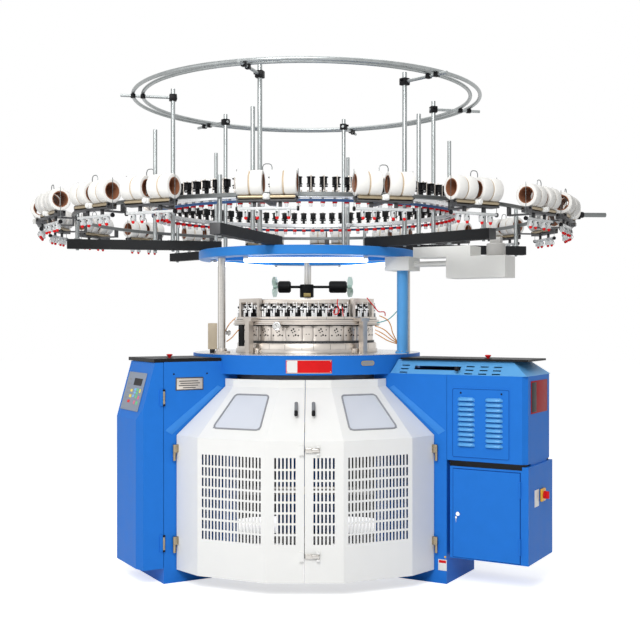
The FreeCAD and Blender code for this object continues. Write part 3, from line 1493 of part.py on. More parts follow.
def make_lid():
    """Sheet lid over the belt, with rows of vents and the slot of the clutch lever."""
    height = S.right_plate_bottom - S.drive_leg_top
    clear = rod("lid_clearance", S.lid_start, (0, 0, S.drive_leg_top), height)
    side = span(-S.leg_width * 0.5, -S.lid_top_half * 0.5)
    slots = [box("lever_slot", (S.lever_slot_start, S.lever_slot_end), side,
                 about(S.lever_middle, S.lever_slot_height))]
    for group_index, place in enumerate((S.first_vent_place, S.second_vent_place,
                                         S.third_vent_place, S.fourth_vent_place)):
        for row in range(VENT_ROWS):
            slots.append(box("vent_%d_%d" % (group_index, row), about(place, S.vent_width), side,
                             about(S.vent_bottom + S.vent_pitch * row, S.vent_height)))
    lid = cut("lid_shell", lid_block("lid_outside", 0), lid_block("lid_inside", S.sheet), clear,
              *slots)
    node("cover_lid", turned("lid_turned", -30, lid))


def make_drive():
    """Motor, pulleys, belt and shaft under the cover, and the clutch lever."""
    motor = bar("motor_can", 20, S.motor_radius, (S.motor_place, 0, S.motor_bottom),
                S.motor_top - S.motor_bottom)
    foot = box("motor_foot", (S.leg_outer, S.motor_place + S.motor_radius),
               (-S.motor_foot_half, S.motor_foot_half), (S.motor_top, S.motor_top + S.motor_foot))
    node("main_motor", turned("motor_turned", -30, fuse("motor_body", motor, foot)))
    pulley_z = (S.pulley_bottom, S.pulley_bottom + S.pulley_height)
    shaft_bottom = S.motor_top + S.motor_foot + S.fit_gap
    shaft = bar("motor_shaft", 12, S.motor_shaft_radius, (S.motor_place, 0, shaft_bottom),
                pulley_z[0] - shaft_bottom)
    wheel = bar("motor_wheel", 24, S.motor_pulley_radius, (S.motor_place, 0, pulley_z[0]),
                S.pulley_height)
    node("motor_pulley", turned("pulley_turned", -30, fuse("pulley_body", shaft, wheel)))
    drive_bar = bar("drive_bar", 12, S.drive_shaft_radius,
                    (S.drive_shaft_place, 0, S.drive_shaft_bottom + S.fit_gap),
                    pulley_z[0] - S.drive_shaft_bottom - S.fit_gap)
    drive_wheel = bar("drive_wheel", 24, S.drive_pulley_radius,
                      (S.drive_shaft_place, 0, pulley_z[0]), S.pulley_height)
    node("drive_shaft", turned("drive_turned", -30, fuse("drive_body", drive_bar, drive_wheel)))
    belt_z = about(S.pulley_bottom + S.pulley_height * 0.5, S.belt_height)
    outer = belt_loop("belt_outside", S.fit_gap + S.belt_thickness, belt_z)
    inner = belt_loop("belt_inside", S.fit_gap, belt_z)
    node("drive_belt", turned("belt_turned", -30, cut("belt_body", outer, inner)))
    make_clutch_lever()


def belt_loop(name, offset, z):
    """The loop round both pulleys, at an offset from their rims."""
    small = float(S.motor_pulley_radius + offset)
    large = float(S.drive_pulley_radius + offset)
    near = float(S.drive_shaft_place)
    far = float(S.motor_place)
    upper = math.pi / 2 - math.asin((large - small) / (far - near))
    # the flats between the corners stay clear of the pulleys as they turn
    small = small / math.cos(upper / BELT_STEPS)
    large = large / math.cos((math.pi - upper) / BELT_STEPS)
    turns = [upper * (1 - 2 * index / BELT_STEPS) for index in range(BELT_STEPS + 1)]
    rest = [upper + (math.pi - upper) * 2 * index / BELT_STEPS
            for index in range(BELT_STEPS + 1)]
    corners = [(far + small * math.cos(turn), small * math.sin(turn)) for turn in turns]
    corners += [(near + large * math.cos(turn), large * math.sin(turn))
                for turn in reversed(rest)]
    levels = [[Vector(x, y, float(level)) for x, y in corners] for level in z]
    quads = [(levels[0][index - 1], levels[0][index], levels[1][index], levels[1][index - 1])
             for index in range(len(corners))]
    return faceted_solid(name, quads + levels)


def make_clutch_lever():
    """Lever that swings in the slot of the lid, drawn at the outer end of its swing."""
    z = about(S.lever_middle, S.lever_thickness)
    reach = S.lever_pivot_side + S.lever_knob_side
    arm = box("lever_arm", about(0, S.lever_width), (-reach, 0), z)
    boss = bar("lever_boss", 12, S.lever_width * 0.8, (0, 0, z[0]), S.lever_thickness)
    stem_bottom = S.drive_leg_top + S.fit_gap
    stem = bar("lever_stem", 12, S.lever_width * 0.35, (0, 0, stem_bottom), z[0] - stem_bottom)
    knob = bar("lever_knob", 12, S.lever_knob_radius,
               (0, -reach, S.lever_middle - S.lever_knob_height * 0.5), S.lever_knob_height)
    lever = fuse("lever_body", arm, boss, stem, knob)
    seat(lever, S.lever_pivot_place, S.lever_pivot_side, 0,
         turn=Rotation(UP, float(S.lever_swing)))
    node("clutch_lever", turned("lever_turned", -30, lever))


def make_cabinet():
    """Electrical cabinet, its door and its main switch."""
    half = S.leg_width * 0.5
    shell = box("cabinet_outside", (S.cabinet_start, S.cabinet_end), (-half, half),
                (S.cabinet_bottom, S.cabinet_top))
    inside = box("cabinet_inside", (S.cabinet_start + S.sheet, S.cabinet_end - S.sheet),
                 (S.sheet - half, half - S.sheet),
                 (S.cabinet_bottom + S.sheet, S.cabinet_top - S.sheet))
    mouth = box("cabinet_mouth", (S.door_start + S.door_lap, S.door_end - S.door_lap),
                about(-half, S.sheet * 4), (S.door_bottom + S.door_lap,
                                            S.door_top - S.door_lap))
    mount = box("cabinet_mount", (S.leg_outer, S.cabinet_start),
                (-S.cabinet_mount_half, S.cabinet_mount_half),
                (S.cabinet_bottom + S.cabinet_spacer_inset,
                 S.cabinet_top - S.cabinet_spacer_inset))
    spacer = box("cabinet_spacer", (S.cabinet_start + S.cabinet_spacer_inset,
                                    S.cabinet_end - S.cabinet_spacer_inset * 2),
                 (S.cabinet_spacer_inset - half, half - S.cabinet_spacer_inset),
                 (S.cabinet_top, S.cover_bottom))
    rim_start = S.cover_end - S.sheet - S.cabinet_spacer_inset * 2
    rest = box("cabinet_rest", (rim_start, S.cover_end), (-S.lid_top_half, S.lid_top_half),
               (S.cabinet_top, S.cover_bottom))
    body = fuse("cabinet_body", cut("cabinet_shell", shell, inside, mouth), mount, spacer, rest)
    node("electrical_cabinet", turned("cabinet_turned", -30, body))
    front = -(half + S.fit_gap)
    leaf = box("door_leaf", (S.door_start, S.door_end), (front - S.guard_sheet, front),
               (S.door_bottom, S.door_top))
    lock = bar("door_lock", 12, S.lock_radius,
               (S.lock_place, front - S.guard_sheet - S.lock_length, S.lock_height),
               S.lock_length + S.sink, "Y")
    barrels = [bar("door_hinge_%s" % name, 8, S.box_hinge_radius,
                   (S.door_end, front - S.box_hinge_radius, bottom), S.hinge_height)
               for name, bottom in (("upper", S.door_top - S.hinge_height * 1.5),
                                    ("lower", S.door_bottom + S.hinge_height * 0.5))]
    node("cabinet_door", turned("door_turned", -30, fuse("door_body", leaf, lock, *barrels)))
    knob_start = S.cabinet_end + S.switch_base + S.fit_gap
    dial = bar("switch_dial", 16, S.switch_knob_radius,
               (knob_start, S.switch_side, S.switch_height), S.switch_knob_length * 0.4, "X")
    grip = box("switch_grip", (knob_start, knob_start + S.switch_knob_length),
               about(S.switch_side, S.switch_knob_radius * 0.5),
               about(S.switch_height, S.switch_knob_radius * 1.8))
    node("main_switch", turned("switch_turned", -30, fuse("switch_knob", dial, grip)))


# ---- assembly and export -----------------------------------------------------------------------

def check_document():
    """Every object is recomputed, and every sub-part is a valid shape."""
    doc.recompute()
    failed = [item.Name for item in doc.Objects
              if "Invalid" in item.State or "Error" in item.State]
    if failed:
        raise RuntimeError("not built: %s" % ", ".join(failed))
    for label, item in NODES.items():
        if item.Shape.isNull() or not item.Shape.isValid() or not item.Shape.Solids:
            raise RuntimeError("%s has no valid solid" % label)


def export_nodes():
    """One STEP file for each sub-part."""
    os.makedirs("parts", exist_ok=True)
    for label, item in NODES.items():
        item.Shape.exportStep("parts/%s.step" % label)


make_legs()
make_base()
make_bed()
make_guards()
make_cylinder()
make_head()
make_takedown()
make_columns()
make_upper_ring()
make_gallery()
make_creel()
make_feeders()
make_drive_cases()
make_fans()
make_control_box()
make_top_plates()
make_cover()
make_drive()
make_cabinet()
check_document()
export_nodes()
print("%d sub-parts written" % len(NODES))
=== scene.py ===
from math import acos, atan, atan2, cos, degrees, pi, radians, sin, tan

import bmesh
import bpy
from mathutils import Matrix, Vector


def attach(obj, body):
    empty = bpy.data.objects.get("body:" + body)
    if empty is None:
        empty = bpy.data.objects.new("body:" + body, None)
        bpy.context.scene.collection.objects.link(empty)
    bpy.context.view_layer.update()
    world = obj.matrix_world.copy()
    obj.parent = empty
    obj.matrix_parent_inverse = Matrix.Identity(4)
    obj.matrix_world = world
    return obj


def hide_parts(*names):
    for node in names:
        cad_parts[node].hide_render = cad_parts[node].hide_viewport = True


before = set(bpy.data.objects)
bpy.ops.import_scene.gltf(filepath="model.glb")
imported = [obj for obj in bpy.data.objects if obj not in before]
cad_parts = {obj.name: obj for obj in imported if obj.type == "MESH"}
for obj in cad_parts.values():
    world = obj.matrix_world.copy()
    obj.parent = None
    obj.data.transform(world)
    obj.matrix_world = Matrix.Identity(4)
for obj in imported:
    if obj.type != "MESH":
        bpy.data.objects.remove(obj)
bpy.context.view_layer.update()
print("frame loaded")

mm = 0.001
still = Matrix.Identity(4)
blank = bmesh.new
scene = bpy.context.scene
scene.view_settings.view_transform = "Standard"


class Values(dict):
    # a dictionary whose values are also read as attributes
    __getattr__ = dict.__getitem__


# Mesh tools: each one adds a form, in millimetres, to the mesh it is given

def turned(angle, axis="Z"):
    return Matrix.Rotation(radians(angle), 4, axis)


def shift(x, y, z):
    return Matrix.Translation((x * mm, y * mm, z * mm))


def onCircle(radius, angle):
    return radius * cos(angle), radius * sin(angle)


leftLeg, rightLeg, rearLeg = turned(210), turned(-30), turned(90)
alongX, alongY, facing = turned(90, "Y"), turned(-90, "X"), turned(90, "X")


def soften(mesh, edges, bevel, segments=2):
    bmesh.ops.bevel(mesh, geom=list(edges), offset=bevel * mm, segments=segments, profile=0.5,
                    affect="EDGES")


def block(mesh, low, high, place=still, bevel=0.0, segments=2):
    size = [(b - a) * mm for a, b in zip(low, high)]
    middle = [(a + b) / 2 * mm for a, b in zip(low, high)]
    matrix = place @ Matrix.Translation(middle) @ Matrix.Diagonal((*size, 1))
    verts = bmesh.ops.create_cube(mesh, size=1, matrix=matrix)["verts"]
    if bevel:
        soften(mesh, {edge for vert in verts for edge in vert.link_edges}, bevel, segments)
    return mesh


def lathe(mesh, profile, place=still, steps=96):
    # a closed section of (radius, height) pairs, spun about the shape's Z axis
    rings = [[mesh.verts.new(place @ (Vector((*onCircle(r, 2 * pi * step / steps), z)) * mm))
              for r, z in profile] for step in range(steps)]
    for here, there in zip(rings, rings[1:] + rings[:1]):
        for index in range(len(profile)):
            other = (index + 1) % len(profile)
            if profile[index][0] or profile[other][0]:
                mesh.faces.new((here[index], there[index], there[other], here[other]))
    return mesh


def ring(mesh, inner, outer, low, high, edge=2.0, steps=144):
    edge = min(edge, (outer - inner) * 0.3, (high - low) * 0.3)
    return lathe(mesh, [(inner + edge, low), (outer - edge, low), (outer, low + edge),
                        (outer, high - edge), (outer - edge, high), (inner + edge, high),
                        (inner, high - edge), (inner, low + edge)], steps=steps)


def bar(mesh, radius, start, length, axis="Z", place=still, steps=24, edge=1.0):
    edge = min(edge, radius * 0.45, length * 0.45)
    profile = [(0, 0), (radius - edge, 0), (radius, edge), (radius, length - edge),
               (radius - edge, length), (0, length)]
    along = {"X": alongX, "Y": alongY, "Z": still}[axis]
    return lathe(mesh, profile, place @ shift(*start) @ along, steps)


def wire(mesh, points, radius, place=still, closed=False):
    # a tube through points
    path = [Vector(point) * mm for point in points]
    count, sides = len(path), 8
    rings, side = [], None
    for index, point in enumerate(path):
        if closed:
            along = path[(index + 1) % count] - path[index - 1]
        else:
            along = path[min(index + 1, count - 1)] - path[max(index - 1, 0)]
        along.normalize()
        if side is None:
            side = along.orthogonal().normalized()
        side = (side - along * side.dot(along)).normalized()
        other = along.cross(side)
        arms = [onCircle(radius * mm, 2 * pi * s / sides) for s in range(sides)]
        rings.append([mesh.verts.new(place @ (point + side * a + other * b)) for a, b in arms])
    for here, there in zip(rings, rings[1:] + (rings[:1] if closed else [])):
        for s in range(sides):
            mesh.faces.new((here[s], here[(s + 1) % sides], there[(s + 1) % sides], there[s]))
    if not closed:
        mesh.faces.new(list(reversed(rings[0])))
        mesh.faces.new(rings[-1])
    return mesh


def plate(mesh, corners, thickness, place=still, bevel=0.0):
    # a flat plate: corners in its own XY plane, drawn out along its Z axis
    low, high = [[mesh.verts.new(place @ Vector((x * mm, y * mm, z * mm))) for x, y in corners]
                 for z in (0, thickness)]
    faces = [mesh.faces.new(list(reversed(low))), mesh.faces.new(high)]
    for index in range(len(corners)):
        other = (index + 1) % len(corners)
        faces.append(mesh.faces.new((low[index], low[other], high[other], high[index])))
    if bevel:
        soften(mesh, {edge for face in faces for edge in face.edges}, bevel)
    return mesh


def arcPlate(mesh, radii, halfTurn, steps, low, high, place=still, bevel=0.0):
    # an upright plate between two radii, over an arc about the X axis
    outline = [onCircle(radius, halfTurn * (2 * s / (steps - 1) - 1))
               for radius, order in zip(radii, (range(steps), reversed(range(steps))))
               for s in order]
    return plate(mesh, outline, high - low, place @ shift(0, 0, low), bevel)


def thinSheet(mesh, rows, thickness):
    # a sheet through rows of points
    grid = [[mesh.verts.new(Vector(spot) * mm) for spot in row] for row in rows]
    faces = [mesh.faces.new((a[i], a[i + 1], b[i + 1], b[i]))
             for a, b in zip(grid, grid[1:]) for i in range(len(a) - 1)]
    bmesh.ops.solidify(mesh, geom=faces, thickness=thickness * mm)
    return mesh


def roundedCorners(corners, radius, steps=6):
    # the corners of a convex outline, each turned into an arc
    result = []
    for index, corner in enumerate(corners):
        here = Vector(corner)
        back = (Vector(corners[index - 1]) - here).normalized()
        ahead = (Vector(corners[(index + 1) % len(corners)]) - here).normalized()
        half = acos(max(-1, min(1, back.dot(ahead)))) / 2
        reach = radius / tan(half)
        centre = here + (back + ahead).normalized() * (radius / sin(half))
        first = here + back * reach - centre
        sweep = first.angle_signed(here + ahead * reach - centre)
        result += [tuple(centre + Matrix.Rotation(-sweep * step / steps, 2) @ first)
                   for step in range(steps + 1)]
    return result


def addObject(name, data):
    item = bpy.data.objects.new(name, data)
    scene.collection.objects.link(item)
    return item


def toObject(name, mesh, smoothAngle=32):
    bmesh.ops.remove_doubles(mesh, verts=mesh.verts, dist=1e-6)
    bmesh.ops.dissolve_degenerate(mesh, edges=mesh.edges, dist=1e-7)
    bmesh.ops.recalc_face_normals(mesh, faces=mesh.faces)
    data = bpy.data.meshes.new(name)
    mesh.to_mesh(data)
    mesh.free()
    data.polygons.foreach_set("use_smooth", [True] * len(data.polygons))
    data.set_sharp_from_angle(angle=radians(smoothAngle))
    return addObject(name, data)


def keptMesh(holder):
    # the finished mesh of a helper object, which is then removed
    bpy.context.view_layer.update()
    graph = bpy.context.evaluated_depsgraph_get()
    data = bpy.data.meshes.new_from_object(holder.evaluated_get(graph))
    bpy.data.objects.remove(holder)
    return data


def settle(item, finish, slot=None, body="frame", stands=None):
    # material and body of a finished piece, and the node it stands for; the slot is not used
    item.data.materials.clear()
    item.data.materials.append(finish)
    if stands:
        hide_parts(stands)
    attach(item, body)
    return item


def piece(name, mesh, finish, smoothAngle=32, **record):
    return settle(toObject(name, mesh, smoothAngle), finish, **record)


# Nodes, for what repeats and for the finishes

def feedSocket(tree, socket, value):
    # a socket takes a plain value, or a link from another node's output
    if isinstance(value, bpy.types.NodeSocket):
        tree.links.new(value, socket)
    else:
        socket.default_value = value


def feed(tree, node, **values):
    for label, value in values.items():
        feedSocket(tree, node.inputs[label.replace("_", " ")], value)
    return node


def addNode(tree, kind, **values):
    return feed(tree, tree.nodes.new(kind), **values)


def mathNode(tree, operation, *values, kind="ShaderNodeMath"):
    node = tree.nodes.new(kind)
    node.operation = operation
    for socket, value in zip(node.inputs, values):
        feedSocket(tree, socket, value)
    return node.outputs


def mixNode(tree, share, first, second):
    node = tree.nodes.new("ShaderNodeMix")
    node.data_type = "RGBA"
    return feed(tree, node, Factor=share, A=first, B=second).outputs["Result"]


def makeCopyTree():
    # copies at the carrier's points, each turned about the upright axis by the angle stored there
    tree = bpy.data.node_groups.new("Copies", "GeometryNodeTree")
    tree.is_modifier = True
    for label, way, kind in (("Geometry", "INPUT", "Geometry"), ("Piece", "INPUT", "Object"),
                             ("Finish", "INPUT", "Material"), ("Geometry", "OUTPUT", "Geometry")):
        tree.interface.new_socket(label, in_out=way, socket_type="NodeSocket" + kind)
    given = tree.nodes.new("NodeGroupInput").outputs
    angle = addNode(tree, "GeometryNodeInputNamedAttribute", Name="angle").outputs["Attribute"]
    turn = addNode(tree, "ShaderNodeCombineXYZ", Z=mathNode(tree, "RADIANS", angle)["Value"])
    source = addNode(tree, "GeometryNodeObjectInfo", Object=given["Piece"])
    spread = addNode(tree, "GeometryNodeInstanceOnPoints", Points=given["Geometry"],
                     Instance=source.outputs["Geometry"], Rotation=turn.outputs["Vector"])
    real = addNode(tree, "GeometryNodeRealizeInstances", Geometry=spread.outputs["Instances"])
    dressed = addNode(tree, "GeometryNodeSetMaterial", Geometry=real.outputs["Geometry"],
                      Material=given["Finish"])
    addNode(tree, "NodeGroupOutput", Geometry=dressed.outputs["Geometry"])
    return tree


copyTree = makeCopyTree()


def repeated(name, mesh, spots, angles, finish, place, record):
    # runs the tree on a carrier of points and keeps the result as a plain mesh
    unit = toObject(name + "Unit", mesh)
    carrier = bpy.data.meshes.new(name + "Carrier")
    carrier.from_pydata(spots, [], [])
    stored = carrier.attributes.new("angle", "FLOAT", "POINT")
    stored.data.foreach_set("value", [float(angle) for angle in angles])
    holder = addObject(name + "Holder", carrier)
    nodes = holder.modifiers.new("Repeat", "NODES")
    nodes.node_group = copyTree
    for item in copyTree.interface.items_tree:
        if item.name in ("Piece", "Finish"):
            nodes[item.identifier] = unit if item.name == "Piece" else finish
    made = keptMesh(holder)
    made.name = name
    made.transform(place)
    bpy.data.objects.remove(unit)
    return settle(addObject(name, made), finish, **record)


def atAngles(name, mesh, angles, finish, **record):
    # copies round the machine's axis
    return repeated(name, mesh, [(0, 0, 0)] * len(angles), angles, finish, still, record)


def onRing(name, mesh, count, first, finish, **record):
    # copies shared evenly round the machine's axis
    angles = [first + 360 / count * index for index in range(count)]
    return atAngles(name, mesh, angles, finish, **record)


def inGrid(name, mesh, columns, rows, pitches, place, finish, **record):
    # columns and rows of copies in a flat panel that faces the front
    spots = [(column * pitches[0] * mm, 0, row * pitches[1] * mm)
             for row in range(rows) for column in range(columns)]
    return repeated(name, mesh, spots, [0] * len(spots), finish, place, record)


# Finishes

def makeFinish(name, slot, colour, roughness, metallic=0.0, variation=0.06, grain=14.0,
               bump=0.02, bumpScale=260.0, stretch=(1, 1, 1), shine=0.5, **sockets):
    # a surface whose tone, gloss and relief vary with fine noise on Object coordinates
    material = bpy.data.materials.new(name)
    material.use_nodes = True
    tree = material.node_tree
    where = addNode(tree, "ShaderNodeTexCoord").outputs["Object"]
    where = addNode(tree, "ShaderNodeMapping", Vector=where, Scale=stretch).outputs["Vector"]
    cloud, fine = [addNode(tree, "ShaderNodeTexNoise", Vector=where, Scale=scale,
                           Detail=detail).outputs["Fac"]
                   for scale, detail in ((grain, 5), (bumpScale, 3))]
    low, high = [(*[min(1, c * (1 + way * variation)) for c in colour], 1) for way in (-1, 1)]
    gloss = addNode(tree, "ShaderNodeMapRange", Value=cloud, To_Min=max(0.02, roughness - 0.07),
                    To_Max=min(1, roughness + 0.07))
    relief = addNode(tree, "ShaderNodeBump", Height=fine, Strength=bump, Distance=0.002)
    feed(tree, tree.nodes["Principled BSDF"], Metallic=metallic, Specular_IOR_Level=shine,
         Base_Color=mixNode(tree, cloud, low, high), Roughness=gloss.outputs["Result"],
         Normal=relief.outputs["Normal"], **sockets)
    return material


def paintedShadeInside(material, inner):
    # the side of a shell that faces the machine's axis is painted dark: painted shade for the dim
    # inside of the guards
    tree = material.node_tree
    shader = tree.nodes["Principled BSDF"]
    outer = shader.inputs["Base Color"].links[0].from_socket
    where = addNode(tree, "ShaderNodeTexCoord").outputs
    vectors = "ShaderNodeVectorMath"
    flat = mathNode(tree, "MULTIPLY", where["Object"], (1, 1, 0), kind=vectors)["Vector"]
    outwards = mathNode(tree, "DOT_PRODUCT", flat, where["Normal"], kind=vectors)["Value"]
    shadeMask = mathNode(tree, "LESS_THAN", outwards, -0.05)["Value"]
    feed(tree, shader, Base_Color=mixNode(tree, shadeMask, outer, (*inner, 1)))
    return material


blue = makeFinish("BluePaint", "blue_paint", (0.018, 0.172, 0.620), 0.45, bump=0.05, shine=0.08)
# a lighter copy of the blue paint: painted highlight for the chamfer beside each guard's slope
blueChamferLit = makeFinish("BluePaintChamferLit", "blue_paint", (0.045, 0.240, 0.690), 0.45, bump=0.05,
                      shine=0.08)
ringBlue = makeFinish("BluePaintRing", "blue_paint", (0.030, 0.240, 0.700), 0.40, bump=0.05,
                      shine=0.2)
# dark blue for the seams, and painted shade for the strips under the louvre hoods
blueSeamAndShade = makeFinish("BlueSeamAndShade", "blue_paint", (0.004, 0.050, 0.250), 0.5, bump=0.05,
                      shine=0.08)
# a lighter, glossier copy of the blue paint; on the louvre hoods it is painted highlight for
# their lit tops
blueLit = makeFinish("BluePaintLit", "blue_paint", (0.080, 0.340, 0.720), 0.38, bump=0.05,
                        shine=0.4, Coat_Weight=0.1)
# a lighter copy of the blue paint: painted light for the lid's sloping front, which faces the
# light
lidBlueLit = makeFinish("LidBlueLit", "blue_paint", (0.100, 0.350, 0.690), 0.42, bump=0.05, shine=0.2)
beltBlue = makeFinish("BlueBelt", "blue_belt", (0.010, 0.05, 0.15), 0.6, 0, 0.1, 60, 0.2)
# white paint outside, with painted shade on the side that faces the axis
whiteShadedInside = paintedShadeInside(makeFinish("WhitePaintShadedInside", "light_paint", (0.80, 0.80, 0.78), 0.42,
                              variation=0.02, bump=0.05), (0.02, 0.02, 0.025))
whiteFlat = makeFinish("WhiteEnamel", "light_paint", (0.78, 0.78, 0.76), 0.40, variation=0.02)
paleGrey = makeFinish("PaleGreyPaint", "light_paint", (0.80, 0.80, 0.77), 0.50, variation=0.03,
                      bump=0.08)
beige = makeFinish("BeigePlate", "light_paint", (0.52, 0.44, 0.32), 0.5, 0, 0.05, 30)
black = makeFinish("BlackPaint", "black_plastic", (0.006, 0.006, 0.007), 0.45, bump=0.08,
                   shine=0.15)
charcoal = makeFinish("CharcoalPaint", "black_paint", (0.018, 0.019, 0.020), 0.60, bump=0.12,
                      shine=0.15)
greyPaint = makeFinish("GreyPaint", "grey_paint", (0.50, 0.49, 0.47), 0.50, variation=0.05,
                       bump=0.12)
seal = makeFinish("GreySeal", "grey_plastic", (0.27, 0.28, 0.30), 0.7, 0, 0.1, 60, 0.1)
gripGrey = makeFinish("GripGrey", "grey_plastic", (0.17, 0.18, 0.19), 0.45, 0, 0.1, 60, 0.1)
steel = makeFinish("GroundSteel", "bright_steel", (0.52, 0.50, 0.47), 0.30, 1.0, 0.12, 9, 0.05,
                   90, (1, 1, 12))
warmSteel = makeFinish("WarmSteel", "bright_steel", (0.60, 0.55, 0.50), 0.34, 1.0, 0.14, 20,
                       0.06, 160)
bronze = makeFinish("BronzeHinge", "zinc_steel", (0.34, 0.28, 0.19), 0.4, 1.0, 0.2, 40)
zinc = makeFinish("ZincPlate", "zinc_steel", (0.34, 0.36, 0.36), 0.34, 1.0, 0.24, 30, 0.06, 120,
                  (1, 1, 0.3))
darkZinc = makeFinish("DarkZinc", "zinc_steel", (0.17, 0.18, 0.18), 0.38, 1.0, 0.2, 30, 0.08,
                      120)
chrome = makeFinish("Chrome", "bright_steel", (0.78, 0.78, 0.78), 0.12, 1.0, 0.04)
iron = makeFinish("DarkCasting", "black_paint", (0.075, 0.075, 0.078), 0.55, 0.6, 0.2, 40, 0.2,
                  180)
rail = makeFinish("AnodisedRail", "aluminium_rail", (0.66, 0.67, 0.68), 0.28, 1.0, 0.06, 12)
gold = makeFinish("GoldLabel", "bright_steel", (0.50, 0.38, 0.14), 0.5, 0.4, 0.1)
amber = makeFinish("AmberTube", "clear_plastic", (0.72, 0.30, 0.05), 0.25, 0, 0.08, 40)
teal = makeFinish("TealTube", "clear_plastic", (0.02, 0.35, 0.36), 0.3, 0, 0.08, 40)
clearPlastic = makeFinish("ClearPlastic", "clear_plastic", (0.80, 0.82, 0.82), 0.22, 0, 0.08, 50,
                          Transmission_Weight=0.35, IOR=1.45)
paneFinish = makeFinish("WindowPane", "clear_plastic", (0.62, 0.65, 0.71), 0.12, 0, 0.02, 5, 0.0)
yarn = makeFinish("WoundYarn", "yarn", (0.80, 0.79, 0.76), 0.85, 0, 0.03, 60, 0.25, 900)
card = makeFinish("CardTube", "yarn", (0.26, 0.10, 0.045), 0.75, 0, 0.22, 90, 0.15, 400)
seamTan = makeFinish("TanSeam", "yarn", (0.55, 0.43, 0.30), 0.8, 0, 0.12, 80)
red = makeFinish("RedPlastic", "red_plastic", (0.68, 0.010, 0.012), 0.35, 0, 0.10, 30,
                 shine=0.15)
# a darker copy of the red: painted shade for the end plate on the cabinet's end face
redLabelShaded = makeFinish("RedLabelShaded", "red_plastic", (0.36, 0.010, 0.014), 0.4, 0, 0.10, 30,
                     shine=0.05)
yellow = makeFinish("YellowPlastic", "label_mix", (0.85, 0.45, 0.02), 0.4, 0, 0.06, 30)
green = makeFinish("GreenFan", "green_plastic", (0.62, 0.85, 0.74), 0.3, 0, 0.05, 20,
                   Transmission_Weight=0.3, IOR=1.4)
padGrey = makeFinish("PadGrey", "grey_plastic", (0.22, 0.26, 0.33), 0.5, 0, 0.04, 30)
keyYellow = makeFinish("KeyYellow", "grey_plastic", (0.85, 0.72, 0.10), 0.5, 0, 0.04)
keyGreen = makeFinish("KeyGreen", "grey_plastic", (0.10, 0.60, 0.18), 0.5, 0, 0.04)
keyPink = makeFinish("KeyPink", "grey_plastic", (0.80, 0.10, 0.22), 0.5, 0, 0.04)
keyBlue = makeFinish("KeyBlue", "grey_plastic", (0.18, 0.50, 0.85), 0.5, 0, 0.04)
lampGlass = makeFinish("LampGlass", "lamp_glass", (0.95, 0.97, 1.0), 0.3, 0, 0.01,
                       Emission_Color=(0.93, 0.98, 1.0, 1), Emission_Strength=2.2)
print("finishes made")


nodeFinishes = {
    blue: ("leg_left", "leg_right", "leg_rear", "bed_plate", "control_box", "motor_cover",
           "electrical_cabinet", "cabinet_door", "louvre_panel"),
    lidBlueLit: ("cover_lid",),
    whiteShadedInside: ("guard_left", "guard_right", "rear_guards"),
    iron: ("base_frame", "main_motor", "motor_pulley", "drive_shaft"),
    charcoal: ("beams",),
    paleGrey: ("drive_cases",),
    greyPaint: ("takedown_frame",),
    steel: ("needle_cylinder", "winding_bar", "feeder_shaft"),
    warmSteel: ("head_posts",),
    paneFinish: ("window_left", "window_right"),
    black: ("top_plates", "draw_roller", "drive_belt"),
}
for finish, names in nodeFinishes.items():
    for nodeName in names:
        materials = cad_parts[nodeName].data.materials
        materials.clear()
        materials.append(finish)
print("frame dressed")


# Guards

guardSizes = Values(
    facetTurn=24, flat=950, sheet=4, slotWidth=10, slotPitch=20, slotBottom=271, slotHeight=45,
    bridge=11, rows=8, sideSlots=18, frontSlots=6, frontStart=51, topFlat=665, shoulder=805,
    neck=1062, windowTop=1023, windowBottom=854, windowTopHalf=101, windowBottomHalf=141,
    windowCorner=22, sealWidth=5, paneShare=0.985)


def slopeLean():
    # how far the sloping facet leans back, in radians
    g = guardSizes
    return atan((g.flat - g.topFlat) / (g.neck - g.shoulder))


def slopePlace(height):
    # the sloping facet's own plane: x across, y up the slope, z outwards
    g = guardSizes
    depth = g.flat - (height - g.shoulder) * tan(slopeLean())
    return shift(0, -depth, height) @ turned(90 - degrees(slopeLean()), "X")


def makeGuardTrim():
    # bridges across the slots, and the seal and pane of each window
    g = guardSizes
    half = (g.windowTop - g.windowBottom) / 2 / cos(slopeLean())
    corners = [(-g.windowBottomHalf, -half), (g.windowBottomHalf, -half),
               (g.windowTopHalf, half), (-g.windowTopHalf, half)]
    outline = roundedCorners(corners, g.windowCorner)
    pane = roundedCorners([(x * g.paneShare, y * g.paneShare) for x, y in corners],
                          g.windowCorner)
    sideSpan, frontSpan = [g.slotPitch * (count - 1) for count in (g.sideSlots, g.frontSlots)]
    for body, side in (("guard_right", 1), ("guard_left", -1)):
        frontStart = g.frontStart if side > 0 else -g.frontStart - frontSpan
        facet = turned(side * g.facetTurn)
        for label, count, start, turn in (("Side", g.sideSlots, -sideSpan / 2, facet),
                                          ("Front", g.frontSlots, frontStart, still)):
            unit = block(blank(), (-g.slotWidth / 2, -g.flat + 0.05, 0),
                         (g.slotWidth / 2, -g.flat + g.sheet - 0.05, g.bridge))
            inGrid(body + "_bridges" + label, unit, count, g.rows - 1,
                   (g.slotPitch, g.slotHeight + g.bridge),
                   turn @ shift(start, 0, g.slotBottom + g.slotHeight), whiteFlat, body=body)
        place = facet @ slopePlace((g.windowTop + g.windowBottom) / 2)
        piece(body + "_seal", wire(blank(), [(x, y, 1) for x, y in outline], g.sealWidth, place,
                                   True), seal, slot="black_plastic", body=body)
        piece(body + "_paneFace", plate(blank(), pane, 1, place @ shift(0, 0, -1)), paneFinish,
              body=body)


fittingSizes = Values(
    handleOffset=46, handleHeight=943, handleRadius=9.5, standoff=24, handleLow=-48,
    handleBlack=-16, handleTop=47, hingeOut=945, hingeSide=215, hingeRadius=8.2, hingeHeight=87,
    hingeBottoms=(167, 667), leafReach=25, leafSides=(-9, 5.5))


